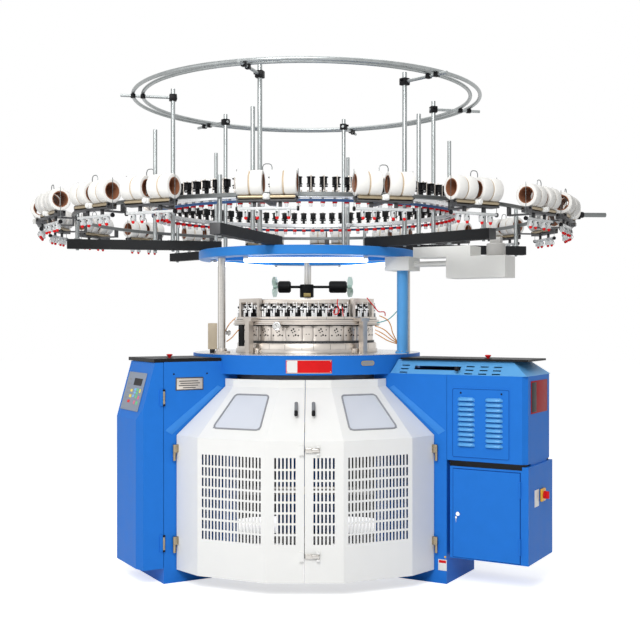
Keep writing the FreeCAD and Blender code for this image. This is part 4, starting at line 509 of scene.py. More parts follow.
def makeGuardFittings():
    # grips over the door handles, and the metal of the door hinges
    s = fittingSizes
    for body, side, leg in (("guard_right", 1, rightLeg), ("guard_left", -1, leftLeg)):
        slope = slopePlace(s.handleHeight) @ shift(side * s.handleOffset, 0, 0)
        for name, radius, low, high, finish in (
                ("_grip", s.handleRadius, s.handleBlack, s.handleTop, gripGrey),
                ("_gripEnd", s.handleRadius + 0.6, s.handleLow, s.handleBlack, black)):
            mesh = bar(blank(), radius, (0, low, s.standoff), high - low, "Y", slope, 20, 4)
            piece(body + name, mesh, finish, body=body)
        upper, lower = blank(), blank()
        half = s.hingeHeight / 2
        y = -side * s.hingeSide
        leaf = sorted(y + side * reach for reach in s.leafSides)
        for bottom in s.hingeBottoms:
            middle = bottom + half
            bar(upper, s.hingeRadius, (s.hingeOut, y, middle + 0.5), half - 0.5, place=leg,
                steps=20)
            block(upper, (s.hingeOut - s.leafReach, leaf[0], middle + 0.6),
                  (s.hingeOut, leaf[1], middle + half + 0.4), leg, 1)
            bar(lower, s.hingeRadius, (s.hingeOut, y, bottom - 0.5), half, place=leg, steps=20)
        piece(body + "_hinges", upper, bronze, body=body)
        piece(body + "_hingePins", lower, bronze)


latchSizes = Values(reach=70, thickness=17, upper=735, lower=188, height=48, flat=950)


def makeLatches():
    s = latchSizes
    y = -(s.flat + 0.3)
    back = y - s.thickness
    for body, bottom in (("latch_upper", s.upper), ("latch_lower", s.lower)):
        z = bottom + s.height / 2
        mesh = block(blank(), (4, back + 5, z - 13), (44, y, z + 13), still, 4)
        block(mesh, (38, back, z - 10), (s.reach + 8, y - 4, z + 10), still, 5)
        bar(mesh, 5, (s.reach, back + 9, z - 14), 28)
        piece(body + "_lever", mesh, steel, body=body, stands=body)


makeGuardTrim()
makeGuardFittings()
print("guard trim made")
makeLatches()


# Knitting head

headSizes = Values(
    camInner=338, camOuter=400, camLow=1312, camHigh=1403, boxStep=13.5, boxCount=26,
    narrowStart=266.9, narrowStep=9.0, boxGap=0.35, boxHoles=(
        (-31, -15, 5.0), (-13, 14, 4.8), (-2, 22, 5.4), (5, 9, 4.4), (-7, 2, 3.8),
        (10, -12, 5.4), (25, -15, 5.0), (29, 17, 3.6), (-1, -17, 3.8)),
    grooveRadius=404, bandRadius=419, studCount=120, blockAngles=(228, 312, 48, 132),
    capSeamCount=24, guideRadius=405, guideCount=42, guideFirst=3, capTop=1423, stepTop=1450,
    postAngles=(45, 135, 225, 315), postClear=5, portalAngles=(35, 145, 215, 325),
    portalHalf=14.5, portalClear=3)

# finish, slot, the node it stands for, and rings of inner, outer, low, high and edge
headRings = {
    "saddleGroove": (iron, None, None, ((404, 406, 1297.3, 1311.5, 0.4),)),
    "capShade": (black, "black_paint", None, ((401, 436, 1398, 1403.1, 0.6),)),
    "bedDisc": (rail, "bright_steel", None, ((430, 675, 1236.3, 1240, 1.2, 160),)),
    "capRing": (warmSteel, None, "cap_ring", ((340, 444, 1403.3, 1411, 1.5),
                                              (344, 438, 1411, 1423, 2))),
    "capSteps": (warmSteel, None, None, ((346, 438, 1423.3, 1433, 1.5),
                                         (346, 424, 1435.5, 1450, 1.5))),
    "capLine": (iron, None, None, ((346, 423, 1433.2, 1435.3, 0.5),)),
    "portalBand": (warmSteel, None, None, ((376, 398, 1523, 1551, 3),)),
}


def camBox(step):
    h = headSizes
    return arcPlate(blank(), (h.camOuter, h.camInner), radians(step - h.boxGap) / 2, 5,
                    h.camLow, h.camHigh, bevel=1.2)


def camHoles(spots, base, angle=0.0):
    # bolt holes on the face of a box, drawn as black discs of painted shade for the hollows:
    # distance across, height over the base, radius
    outer = headSizes["camOuter"]
    mesh = blank()
    for across, up, radius in spots:
        bar(mesh, radius, (outer - 1.5, 0, base + up), 1.9, "X",
            turned(angle + degrees(across / outer)), 12, 0.2)
    return mesh


def makeCamBoxes():
    h = headSizes
    first = h.narrowStart + h.narrowStep
    angles = [first + h.boxStep * (index + 0.5) for index in range(h.boxCount)]
    narrow = h.narrowStart + h.narrowStep / 2
    atAngles("camBoxes", camBox(h.boxStep), angles, warmSteel, stands="cam_boxes")
    atAngles("camHoles", camHoles(h.boxHoles, (h.camLow + h.camHigh) / 2), angles, black,
             slot="black_paint")
    atAngles("narrowBox", camBox(h.narrowStep), [narrow], warmSteel)
    piece("narrowHoles", camHoles(((-8, 38, 3), (8, 38, 3)), h.camLow, narrow), black,
          slot="black_paint")
    band, groove = h.bandRadius, h.grooveRadius
    section = [(337, 1236.3), (426, 1236.3), (427, 1238), (427, 1260), (425.5, 1262),
               (band, 1262), (band, 1292), (band - 3, 1297), (groove, 1297), (groove, 1311.7),
               (337, 1311.7)]
    piece("saddleRing", lathe(blank(), section, steps=144), warmSteel, stands="saddle_ring")
    onRing("grooveStuds", bar(blank(), 2.4, (groove + 2, 0, 1304), 2, "X", steps=10),
           h.studCount, 1.5, black, slot="black_paint")
    atAngles("saddleSeams", block(blank(), (band - 1, -0.9, 1262.5), (band + 0.3, 0.9, 1292)),
             [first + h.boxStep * index for index in range(h.boxCount + 1)], iron)
    mesh = blank()
    for angle in h.blockAngles:
        block(mesh, (424, -26, 1240.3), (440, 26, 1268), turned(angle), 2)
    piece("saddleBlocks", mesh, warmSteel)
    for name, (finish, slot, node, rings) in headRings.items():
        mesh = blank()
        for values in rings:
            ring(mesh, *values)
        piece(name, mesh, finish, slot=slot, stands=node)
    onRing("capSeams", block(blank(), (423, -0.9, 1436), (424.3, 0.9, h.stepTop - 0.4)),
           h.capSeamCount, 1.0, iron)


def makeGuides():
    # yarn guides all round the cap, except at the posts and the portals' legs
    h = headSizes
    gone = [(angle, h.postClear) for angle in h.postAngles]
    gone += [(angle + way * h.portalHalf, h.portalClear)
             for angle in h.portalAngles for way in (-1, 1)]
    angles = [angle for angle in (h.guideFirst + 360 / h.guideCount * index
                                  for index in range(h.guideCount))
              if all(abs((angle - a + 180) % 360 - 180) > clear for a, clear in gone)]
    middle, base = h.guideRadius, h.stepTop
    bodies = bar(blank(), 7, (middle, -15, base), 56, steps=14)
    bar(bodies, 8, (middle + 2, 5, base), 68, steps=14)
    bar(bodies, 3.5, (middle - 10, -4, h.capTop), 112, steps=8)
    bar(bodies, 3, (middle + 4, 19, base), 84, steps=8)
    bar(bodies, 4, (middle + 6, -24, base + 44), 48, "Y", steps=8)
    caps = bar(blank(), 9, (middle, -15, base + 34), 14, steps=14)
    bar(caps, 10, (middle + 2, 5, base + 50), 12, steps=14)
    bar(caps, 6, (middle, -15, base + 56), 18, steps=10)
    block(caps, (middle - 18, -22, base), (middle - 8, 22, base + 46), still, 2)
    block(caps, (middle - 2, 12, base), (middle + 10, 26, base + 24), still, 2)
    cups = bar(blank(), 6, (middle + 6, -5, base), 22, steps=12)
    atAngles("guideBodies", bodies, angles, chrome, stands="yarn_guides")
    atAngles("guideCaps", caps, angles, black)
    atAngles("guideCups", cups, angles, whiteFlat)


headTubes = {
    "amber": (((400, -250, 1396), (445, -262, 1385), (492, -258, 1340), (530, -240, 1300)),
              ((400, -255, 1374), (442, -268, 1356), (490, -262, 1318), (530, -245, 1297)),
              ((400, -260, 1355), (440, -272, 1330), (480, -268, 1306), (528, -250, 1293)),
              ((425, -235, 1456), (470, -240, 1440), (494, -245, 1400), (502, -245, 1350),
               (530, -240, 1305)),
              ((-412, -230, 1444), (-440, -240, 1418), (-460, -240, 1392), (-476, -225, 1360)),
              ((-394, -235, 1374), (-414, -250, 1352), (-433, -250, 1326), (-465, -240, 1305))),
    "teal": (((530, -205, 1481), (499, -225, 1447), (461, -238, 1424), (411, -240, 1414)),),
    "red": (((181, -402, 1550), (174, -404, 1516), (190, -404, 1498), (187, -405, 1470),
             (163, -410, 1458), (154, -414, 1482), (172, -408, 1498)),
            ((207, -388, 1506), (209, -389, 1480), (212, -389, 1452)),
            ((352, -262, 1560), (376, -262, 1530), (397, -258, 1506), (420, -250, 1476),
             (446, -238, 1480), (462, -230, 1476), (460, -230, 1454))),
    "radius": 3.0, "between": 5,
}


def makeHeadTubes():
    # short tubes and leads that stand round the head, fixed at both ends
    for name, finish in (("amber", amber), ("teal", teal), ("red", red)):
        route = bpy.data.curves.new(name + "Route", "CURVE")
        route.dimensions = "3D"
        route.bevel_depth = headTubes["radius"] * mm
        route.bevel_resolution = 2
        route.use_fill_caps = True
        for points in headTubes[name]:
            spline = route.splines.new("NURBS")
            spline.points.add(len(points) - 1)
            for point, spot in zip(spline.points, points):
                point.co = (*[value * mm for value in spot], 1)
            spline.order_u = 3
            spline.use_endpoint_u = True
            spline.resolution_u = headTubes["between"]
        mesh = blank()
        mesh.from_mesh(keptMesh(addObject(name + "Route", route)))
        piece(name + "Tubes", mesh, finish, slot="clear_plastic")
    mesh = block(blank(), (-396, -232, 1278), (-362, -212, 1404), still, 3)
    block(mesh, (-560, -262, 1240), (-530, -250, 1262), still, 2)
    piece("headBracket", mesh, black, slot="black_paint")
    piece("beigePlate", block(blank(), (-571, -260, 1261), (-518, -252, 1413), still, 2), beige)


gaugeSizes = Values(spots=((-165, -444, 1397, 21), (-462, -176, 1356, 16)), marks=12)


def makeGauges():
    # dial gauges that face the front, each with a short stem behind
    for number, (x, y, height, radius) in enumerate(gaugeSizes["spots"]):
        place = shift(x, y, height) @ facing
        bezel = lathe(blank(), [(radius - 3, 0), (radius + 2, 0), (radius + 2, 5), (radius, 7),
                                (radius - 3, 6)], place, 40)
        bar(bezel, radius * 0.7, (0, 0, -16), 16, place=place)
        face = bar(blank(), radius - 2.5, (0, 0, 0), 4, place=place, steps=40, edge=0.3)
        hand = block(blank(), (-0.8, -3, 4.4), (0.8, radius * 0.6, 5),
                     place @ turned(degrees(0.5)))
        for index in range(gaugeSizes["marks"]):
            mark = turned(360 / gaugeSizes["marks"] * index) @ shift(0, radius - 6, 0)
            block(hand, (-0.6, -2, 4), (0.6, 2, 4.4), place @ mark)
        for name, mesh, finish in (("Bezel", bezel, chrome), ("Face", face, whiteFlat),
                                   ("Marks", hand, black)):
            piece(f"gauge{name}{number}", mesh, finish)


makeCamBoxes()
makeGuides()
makeHeadTubes()
makeGauges()
print("head made")


# Columns, upper ring and lamps

columnSizes = Values(
    bedTop=1236, ringLow=1791, ringHigh=1842, steelPlace=565, steelRadius=22, drivePlace=640,
    driveRadius=32, boltAngles=(200, 250, 290, 340), boltCircle=35, ringInner=535,
    ringOuter=649, crossHalf=592)


def makeColumns():
    c = columnSizes
    tall = c.ringLow - c.bedTop
    columns, feet, bolts = blank(), blank(), blank()
    for leg in (leftLeg, rearLeg):
        bar(columns, c.steelRadius, (c.steelPlace, 0, c.bedTop), tall, place=leg, steps=40)
        block(feet, (c.steelPlace - 40, -34, c.bedTop), (c.steelPlace + 34, 34, c.bedTop + 16),
              leg, 3)
        bar(feet, 30, (c.steelPlace, 0, c.bedTop + 16), 14, place=leg, steps=40)
    piece("steelColumns", columns, steel, stands="steel_columns")
    piece("columnFeet", feet, warmSteel)
    mesh = bar(blank(), c.driveRadius, (c.drivePlace, 0, c.bedTop), tall, place=rightLeg,
               steps=48)
    bar(mesh, 40, (c.drivePlace - 2, 0, c.bedTop), 14, place=rightLeg, steps=48, edge=3)
    piece("driveColumn", mesh, blueLit, stands="column_right")
    for angle in c.boltAngles:
        x, y = onCircle(c.boltCircle, radians(angle))
        bar(bolts, 4.5, (c.drivePlace + x, y, c.bedTop + 14), 5, place=rightLeg, steps=6)
    piece("columnBolts", bolts, zinc)
    piece("upperRing", ring(blank(), c.ringInner, c.ringOuter, c.ringLow, c.ringHigh, 3, 160),
          ringBlue, stands="upper_ring")
    piece("crossBar", block(blank(), (-c.crossHalf, -35, c.ringLow + 0.4),
                            (c.crossHalf, 35, c.ringHigh - 0.4), still, 2), blue)


lampSizes = Values(angles=(270, 30, 150), place=450, length=700, radius=15, height=1770,
                   ringLow=1791)


def makeLamps():
    s = lampSizes
    tubes, holders = blank(), blank()
    half = s.length / 2
    for place in [turned(angle) for angle in s.angles]:
        bar(tubes, s.radius, (s.place, -half, s.height), s.length, "Y", place, 32, 6)
        for y in (14 - half, half - 14):
            block(holders, (s.place - 17, y - 14, s.height + 4),
                  (s.place + 17, y + 14, s.ringLow), place, 3)
    piece("lampTubes", tubes, lampGlass, stands="lamps")
    piece("lampHolders", holders, whiteFlat)


makeColumns()
makeLamps()
print("columns and lamps made")


# Yarn gallery

gallerySizes = Values(
    beamAngle=12.6, beamCount=6, beamTop=1897, beamLow=1842, beamEnd=1410, tallPlace=805,
    tallRadius=13, tallTop=2792, armMiddle=2740, armSide=18, armStart=780, armEnd=1110,
    feederPlace=909, shortRadius=12, shortTop=2548, creelPlace=1354, creelRadius=12,
    creelTop=2134, outerRing=1037, innerRing=980, tube=11, boltPlaces=(560, 620))


def makeGallery():
    g = gallerySizes
    posts, feet, arms, clamps, rings, caps, bolts = [blank() for index in range(7)]
    for place, radius, top in ((g.tallPlace, g.tallRadius, g.tallTop),
                               (g.feederPlace, g.shortRadius, g.shortTop),
                               (g.creelPlace, g.creelRadius, g.creelTop)):
        bar(posts, radius, (place, 0, g.beamTop), top - g.beamTop, steps=28)
        bar(feet, 19, (place, 0, g.beamTop), 5, steps=20)
        bar(feet, 9, (place, 0, g.beamLow - 9), 9, steps=6, edge=2)
    bar(arms, g.armSide / 2, (g.armStart, 0, g.armMiddle), g.armEnd - g.armStart, "X")
    block(clamps, (g.tallPlace - 22, -22, g.armMiddle - 20),
          (g.tallPlace + 22, 22, g.armMiddle + 20), still, 5)
    bar(clamps, 7, (g.tallPlace, -34, g.armMiddle + 8), 14, "Y", steps=12)
    for place in (g.innerRing, g.outerRing):
        block(clamps, (place - 14, -13, g.armMiddle - 12), (place + 14, 13, g.armMiddle + 12),
              still, 3)
    level = g.armMiddle + g.armSide / 2 + g.tube
    for radius in (g.outerRing, g.innerRing):
        section = [onCircle(g.tube, 2 * pi * s / 16) for s in range(16)]
        lathe(rings, [(radius + x, level + y) for x, y in section], steps=180)
    block(caps, (g.beamEnd - 1, -27.2, g.beamLow + 0.3), (g.beamEnd + 3, 27.2, g.beamTop - 0.3),
          still, 2)
    for place in (g.tallPlace, g.feederPlace):
        for reach in (-26, 26):
            bar(bolts, 5, (place + reach, 0, g.beamTop), 5, steps=6)
    for place in g.boltPlaces:
        for y in (-14, 14):
            bar(bolts, 6, (place, y, g.beamTop), 7, steps=6)
    piece("topRings", rings, zinc, 60, stands="top_rings")
    for name, mesh, finish, record in (
            ("galleryPosts", posts, zinc, {"stands": "posts"}), ("postFeet", feet, zinc, {}),
            ("topArms", arms, zinc, {"stands": "top_clamps"}), ("topClamps", clamps, black, {}),
            ("beamCaps", caps, iron, {"slot": "bright_steel"}), ("beamBolts", bolts, zinc, {})):
        onRing(name, mesh, g.beamCount, g.beamAngle, finish, **record)


makeGallery()
print("gallery made")


# Creel

creelSizes = Values(
    frontAngles=(-60, -42, -28, -6, 14, 32, 51, 67), units=20, place=1550, height=2060.9,
    radius=60, bore=38, tube=42.5, cheese=58, seam=6, offset=79, rollerRadius=9,
    rollerSpread=21.4, rollerHeight=1995, length=272, trayLow=1974, trayHigh=1982, railLow=1935,
    railHigh=1950, railLength=285, sensors=(-100, -46, 46, 100), barTurn=4, barHeight=2079)


def unitAngles():
    # the front units stand where the photo shows them, the rest evenly behind
    c = creelSizes
    front = list(c.frontAngles)
    behind = c.units - len(front)
    step = (front[0] + 360 - front[-1]) / (behind + 1)
    return [270 + angle for angle in
            front + [front[-1] + step * (index + 1) for index in range(behind)]]


def makePackages(angles):
    # two pairs of wound cheeses, slightly crowned, each pair on one card tube
    c = creelSizes
    yarns, tubes, seams = blank(), blank(), blank()
    half, outer = c.cheese / 2, c.radius
    cheese = [(c.tube, -half), (outer - 6, -half), (outer - 2, -half + 2),
              (outer - 0.4, -half + 6), (outer, 0), (outer - 0.4, half - 6),
              (outer - 2, half - 2), (outer - 6, half), (c.tube, half)]
    tubeHalf = c.cheese + c.seam / 2 + 0.4
    for middle in (-c.offset, c.offset):
        for part in (-1, 1):
            y = middle + part * (c.cheese + c.seam) / 2
            lathe(yarns, cheese, shift(c.place, y, c.height) @ alongY, 40)
        place = shift(c.place, middle, c.height) @ alongY
        for mesh, inner, rim, end in ((tubes, c.bore, c.tube - 0.2, tubeHalf),
                                      (seams, c.tube, outer - 5, c.seam / 2)):
            lathe(mesh, [(inner, -end), (rim, -end), (rim, end), (inner, end)], place, 40)
    atAngles("yarnCheeses", yarns, angles, yarn, stands="yarn_packages")
    atAngles("cardTubes", tubes, angles, card)
    atAngles("cheeseSeams", seams, angles, seamTan)


def makeCreel():
    c = creelSizes
    angles = unitAngles()
    makePackages(angles)
    rollers, trays, blocks, knobs, clear, tips, wires = [blank() for index in range(7)]
    half, p = c.length / 2, c.place
    for x in (p - c.rollerSpread, p + c.rollerSpread):
        bar(rollers, c.rollerRadius, (x, -half, c.rollerHeight), c.length, "Y", steps=16)
        for end in (-1, 1):
            bar(knobs, 6, (x, end * (half + 3) - 3, c.rollerHeight), 6, "Y", steps=12)
    low, high = c.trayLow, c.trayHigh
    block(trays, (p - 30, -half, low), (p + 30, half, high), still, 2)
    block(trays, (1373, -17, low), (p - 28, 17, high), still, 2)
    block(trays, (1371, -17, low), (1382, 17, 2020), still, 2)
    for y in (3 - half, half - 3):
        block(trays, (p - 30, y - 3, high), (p + 30, y + 3, 2004), still, 1)
    for y in (-60, 60):
        block(trays, (p - 6, y - 8, c.railHigh), (p + 6, y + 8, low), still, 1)
    block(blocks, (p - 18, -16, high), (p + 42, 16, 2008), still, 4)
    bar(blocks, 13, (p + 36, 0, 1996), 18, "X", edge=4)
    end = c.railLength / 2
    block(clear, (p - 10, -end, c.railLow + 2), (p + 10, end, c.railHigh), still, 3)
    for y in c.sensors:
        block(clear, (p - 13, y - 9, 1905), (p + 13, y + 9, 1937), still, 4)
        lathe(tips, [(0, 1892), (4, 1893), (7.5, 1897), (8, 1901), (8, 1907), (0, 1907)],
              shift(p + 4, y, 0), 16)
        bar(knobs, 4, (p + 13, y, 1926), 4, "X", steps=10)
        wire(wires, [(p + 13, y, 1930), (p + 22, y, 1916), (p + 16, y, 1902)], 1.2)
    for side in (-1, 1):
        bar(knobs, 11, (p, side * end - 5, 1943), 10, "Y", steps=16)
        y = side * (c.offset + 64)
        wire(wires, [(p, y, 1955), (p, y, 2126)], 1.4)
    loop = [(22, 2006), (22, 2134), (17, 2145), (8, 2149)]
    wire(wires, [(p, -y, z) for y, z in loop] + [(p, y, z) for y, z in reversed(loop)], 2.2)
    atAngles("creelRollers", rollers, angles, bronze, slot="cast_grey", stands="creel_rollers")
    atAngles("creelTrays", trays, angles, iron, slot="zinc_steel", stands="creel_brackets")
    atAngles("creelBlocks", blocks, angles, whiteFlat)
    atAngles("sensorBodies", clear, angles, clearPlastic, stands="stop_sensors")
    atAngles("sensorTips", tips, angles, red)
    atAngles("railKnobs", knobs, angles, black)
    atAngles("creelWires", wires, angles, darkZinc, slot="bright_steel")
    side, level = turned(c.barTurn), c.barHeight
    mesh = ring(blank(), 1368, 1387, 2020, 2040, 2, 180)
    bar(mesh, 14, (1665, 0, level), 185, "X", side, edge=3)
    block(mesh, (1374, -7, level - 7), (1670, 7, level + 7), side, 2)
    block(mesh, (1370, -8, 2040), (1386, 8, 2090), side, 2)
    piece("creelRing", mesh, darkZinc, stands="creel_ring")
    mesh = bar(blank(), 19, (1668, 0, level), 42, "X", side, edge=4)
    piece("barKnuckle", block(mesh, (1662, -12, 2052), (1690, 12, level), side, 4), black)


makeCreel()
print("creel made")


# Feeders

feederSizes = Values(count=90, ringInner=886, ringOuter=932, ringLow=2068, ringHigh=2092,
                     beltOuter=928, beltLow=2045, beltHigh=2060, wheelPlace=950)


def makeFeeders():
    f = feederSizes
    piece("feederRing", ring(blank(), f.ringInner, f.ringOuter, f.ringLow, f.ringHigh, 2, 180),
          rail, stands="feeder_ring")
    piece("feederBelt", ring(blank(), f.beltOuter - 4, f.beltOuter, f.beltLow, f.beltHigh, 1,
                             180), beltBlue, stands="feeder_belt")
    top = f.ringHigh
    bodies = block(blank(), (922, -18, top + 38), (948, 18, top + 80), still, 3)
    block(bodies, (926, -9, top), (944, 9, top + 38), still, 2)
    block(bodies, (940, -21, top + 26), (952, 21, top + 34), still, 2)
    wheels = lathe(blank(), [(0, 0), (23, 0), (23, 4), (13, 8), (12, 20), (13, 32), (23, 36),
                             (23, 40), (0, 40)], shift(f.wheelPlace, 0, top + 38), 14)
    pins = bar(blank(), 5, (f.wheelPlace, 0, top + 78), 9, steps=8)
    bar(pins, 2.5, (975, 0, top + 2), 80, steps=6)
    block(pins, (946, -5, top + 2), (971, 5, top + 8), still, 1)
    for y in (-16, 16):
        bar(pins, 4, (936, y, top), 12, steps=8)
    tips = block(blank(), (896, -12, 2038), (916, 12, 2056), still, 3)
    cups = block(blank(), (898, -6, 2052), (912, 6, f.ringLow), still, 1)
    block(cups, (898, -9, 2022), (914, 9, 2040), still, 2)
    for name, mesh, finish, node in (
            ("feederBodies", bodies, black, "feeders"), ("feederWheels", wheels, black, None),
            ("feederPins", pins, warmSteel, None), ("feederTips", tips, red, None),
            ("feederCups", cups, clearPlastic, None)):
        onRing(name, mesh, f.count, 0, finish, stands=node)


makeFeeders()
print("feeders made")


# Fans

fanSizes = Values(height=1631, hubLow=1567, hubHigh=1646, hubRadius=42, shaft=15, ringLow=1790.7,
                  left=(-174, -96), right=(134, 243), motor=36, bladeReach=62, bladeWidth=46,
                  pitch=38, noseLength=30, bladeOut=4)


def fanBlade(mesh, centre, way):
    # a thin blade that widens and twists towards its tip
    f = fanSizes
    rows = []
    for share in [index / 8 for index in range(9)]:
        reach = 8 + (f.bladeReach - 9) * share
        width = f.bladeWidth * (0.45 + 0.75 * sin(pi * (0.15 + 0.65 * share)))
        twist = radians(f.pitch * (1.3 - 0.5 * share)) * way
        row = []
        for across in range(5):
            offset = (across / 4 - 0.5) * width
            bow = 4 * (1 - (across / 2 - 1) ** 2)
            row.append((centre + offset * sin(twist) + bow, offset * cos(twist),
                        f.height + way * reach))
        rows.append(row)
    thinSheet(mesh, rows, 1.6)


def makeFans():
    f = fanSizes
    mesh = bar(blank(), f.hubRadius, (0, 0, f.hubLow), f.hubHigh - f.hubLow, steps=40, edge=4)
    bar(mesh, 8, (-100, 0, f.height), 240, "X", steps=16)
    for start, end in (f.left, f.right):
        bar(mesh, f.motor, (start, 0, f.height), end - start, "X", steps=36, edge=9)
    piece("fanMotors", mesh, black, body="fan_boom", stands="fan_boom")
    piece("fanShaft", bar(blank(), f.shaft, (0, 0, f.hubHigh - 4), f.ringLow - f.hubHigh + 4),
          steel, body="fan_boom")
    piece("fanLabel", block(blank(), (-18, -f.hubRadius - 1.4, f.hubLow + 4),
                            (24, -f.hubRadius + 6, f.hubLow + 26), still, 1),
          gold, slot="black_plastic", body="fan_boom")
    for body, side, low in (("fan_blade_left", -1, f.left[0] - 0.3 - f.noseLength),
                            ("fan_blade_right", 1, f.right[1] + 0.3)):
        mesh = bar(blank(), 11, (low, 0, f.height), f.noseLength, "X", edge=4)
        for way in (1, -1):
            fanBlade(mesh, low + f.noseLength / 2 + side * f.bladeOut, way)
        piece(body + "_vanes", mesh, green, body=body, stands=body)


makeFans()
print("fans made")


# Control box

padSizes = Values(width=270, length=215, middle=1036, thickness=6, end=1136, topEnd=1050,
                  slopeStart=890, top=1200)

# corners of the screen, fields and keys on the pad's face
padSpots = {
    "padScreen": (black, (-20, 34, 100, 74)),
    "padFields": (seal, (-104, 62, -66, 70), (-104, 36, -66, 44), (-104, 10, -70, 18),
                  (-104, -16, -70, -8), (-104, -42, -70, -34), (-30, 12, 8, 16),
                  (-30, -16, 8, -12), (40, -44, 84, -38)),
    "padYellow": (keyYellow, (-44, -4, -12, 10), (-44, -36, -12, -20), (92, -4, 112, 16)),
    "padBlue": (keyBlue, (14, 4, 44, 18), (14, -12, 44, 0), (4, -32, 30, -18)),
    "padGreen": (keyGreen, (54, 2, 74, 18), (54, -16, 74, -2), (54, -36, 74, -20),
                 (84, -70, 104, -52)),
    "padPink": (keyPink, (92, -40, 112, -22), (46, -70, 66, -50)),
    "padRed": (red, (-52, -66, -14, -50)),
}


def padPlace():
    # the keypad's own plane: x across, y up the slope, z outwards
    p = padSizes
    rise, lean = p.top - p.slopeStart, p.end - p.topEnd
    tilt = atan2(lean, rise)
    out = p.end - (p.middle - p.slopeStart) * lean / rise
    basis = Matrix(((0, -sin(tilt), cos(tilt), 0), (1, 0, 0, 0),
                    (0, cos(tilt), sin(tilt), 0), (0, 0, 0, 1)))
    return leftLeg @ shift(out, 0, p.middle) @ basis


def makePad():
    p = padSizes
    place, face = padPlace(), p.thickness
    piece("padPlate", block(blank(), (-p.width / 2, -p.length / 2, 0.2),
                            (p.width / 2, p.length / 2, face), place, 3),
          padGrey, body="control_box", stands="keypad")
    for name, (finish, *spots) in padSpots.items():
        mesh = blank()
        for x0, y0, x1, y1 in spots:
            block(mesh, (x0, y0, face - 0.3), (x1, y1, face + 0.9), place, 0.6, 1)
        piece(name, mesh, finish, slot="grey_plastic", body="control_box")


hingeSizes = Values(radius=6, length=90, places=(965, 176), outer=1001.5, side=206.3, end=10)


def makeBoxHinges():
    h = hingeSizes
    pins, ends = blank(), blank()
    for low in h.places:
        for mesh, radius, start, length in (
                (pins, h.radius + 0.2, low + h.end, h.length - 2 * h.end),
                (ends, h.radius + 1, low, h.end),
                (ends, h.radius + 1, low + h.length - h.end, h.end)):
            bar(mesh, radius, (h.outer, h.side, start), length, place=leftLeg, steps=20)
    piece("boxHingePins", pins, bronze, slot="bright_steel", body="control_box")
    piece("boxHingeEnds", ends, black, body="control_box")


makePad()
makeBoxHinges()
print("control box made")


# Plates, buttons and cabinets

plateSizes = Values(bedRadius=684.4, redWidth=250, redLow=1141.5, redHigh=1214.5, redTurn=1.68,
                    rivetSide=118, rivetEdge=9, ovalTurn=30, ovalHeight=1194)

# the leg, bevel, finish and slot of each plate, and the corners of its blocks
plateBlocks = {
    "dataPlateFrame": (leftLeg, 1, iron, None, ((768, 200.2, 1046), (932, 202.4, 1117))),
    "dataPlateFace": (leftLeg, 0.4, warmSteel, "aluminium_rail",
                      ((774, 202.2, 1052), (926, 203, 1111))),
    "dataPlateRows": (leftLeg, 0, iron, None, ((800, 202.9, 1094), (912, 203.3, 1099)),
                      ((790, 202.9, 1082), (905, 203.3, 1087)),
                      ((800, 202.9, 1070), (915, 203.3, 1075)),
                      ((815, 202.9, 1058), (890, 203.3, 1063))),
    # the end plate's darker red is painted shade
    "endPlate": (rightLeg, 0.6, redLabelShaded, None, ((1450.2, -135, 935), (1452, 135, 1108))),
    "endPlateField": (rightLeg, 0.3, black, "black_paint",
                      ((1451.8, -127, 943), (1452.8, -48, 1100))),
    "legLabel": (rightLeg, 0.3, whiteFlat, None, ((951, -201.2, 71), (1001, -200.1, 131))),
    "legLabelBand": (rightLeg, 0.2, red, None, ((955, -201.8, 112), (997, -201, 127))),
    "switchPlate": (rightLeg, 5, yellow, None, ((1460.2, -14.5, 457.5), (1472, 54.5, 526.5))),
    "barePlate": (rightLeg, 0.3, whiteFlat, None, ((1460.2, -104, 440), (1461.2, -34, 530))),
}


def bentPlate(mesh, radius, width, low, high, turn, thickness=1.2):
    # a plate that follows the rim of the bed, centred at an angle from the front
    return arcPlate(mesh, (radius, radius + thickness), width / 2 / radius, 14, low, high,
                    turned(270 + turn))


def makePlates():
    p = plateSizes
    low, high = p.redLow, p.redHigh
    piece("redPlate", bentPlate(blank(), p.bedRadius, p.redWidth, low, high, p.redTurn), red,
          stands="label_plates")
    rim = p.bedRadius + 1.2
    mesh = blank()
    for start, end in ((low, low + 3), (high - 3, high)):
        bentPlate(mesh, rim, p.redWidth, start, end, p.redTurn, 0.8)
    for across in (-p.rivetSide, p.rivetSide):
        for z in (low + p.rivetEdge, high - p.rivetEdge):
            place = turned(270 + p.redTurn + degrees(across / rim))
            bar(mesh, 3, (rim - 0.5, 0, z), 2.4, "X", place, 12)
    piece("plateRims", mesh, steel)
    piece("redPlateField", bentPlate(blank(), rim, 58, low + 4, high - 4,
                                     p.redTurn - degrees(92 / rim), 0.7), whiteFlat)
    ovalPlace = turned(270 + p.ovalTurn) @ shift(p.bedRadius, 0, p.ovalHeight) @ alongX
    for name, across, up, out, finish in (("ovalRim", 42, 13, 1.4, gold),
                                          ("ovalFace", 38, 9.5, 2.2, seal)):
        corners = [(-up, -across), (up, -across), (up, across), (-up, across)]
        piece(name, plate(blank(), roundedCorners(corners, up - 0.2, 8), out, ovalPlace), finish,
              slot="bright_steel")
    for name, (leg, bevel, finish, slot, *blocks) in plateBlocks.items():
        mesh = blank()
        for corners in blocks:
            block(mesh, *corners, leg, bevel)
        piece(name, mesh, finish, slot=slot)
    mesh = blank()
    for leg, x, y, z in ((leftLeg, 746, 199.5, 1136), (leftLeg, 942, 199.5, 1136),
                         (rightLeg, 1083, -205.2, 1040), (rightLeg, 1313, -205.2, 1040)):
        bar(mesh, 5, (x, y, z), 3, "Y", leg, 16)
    piece("darkScrews", mesh, black, slot="black_paint")
    piece("legDot", bar(blank(), 6, (992, -202, 146), 2, "Y", rightLeg, 20), yellow)


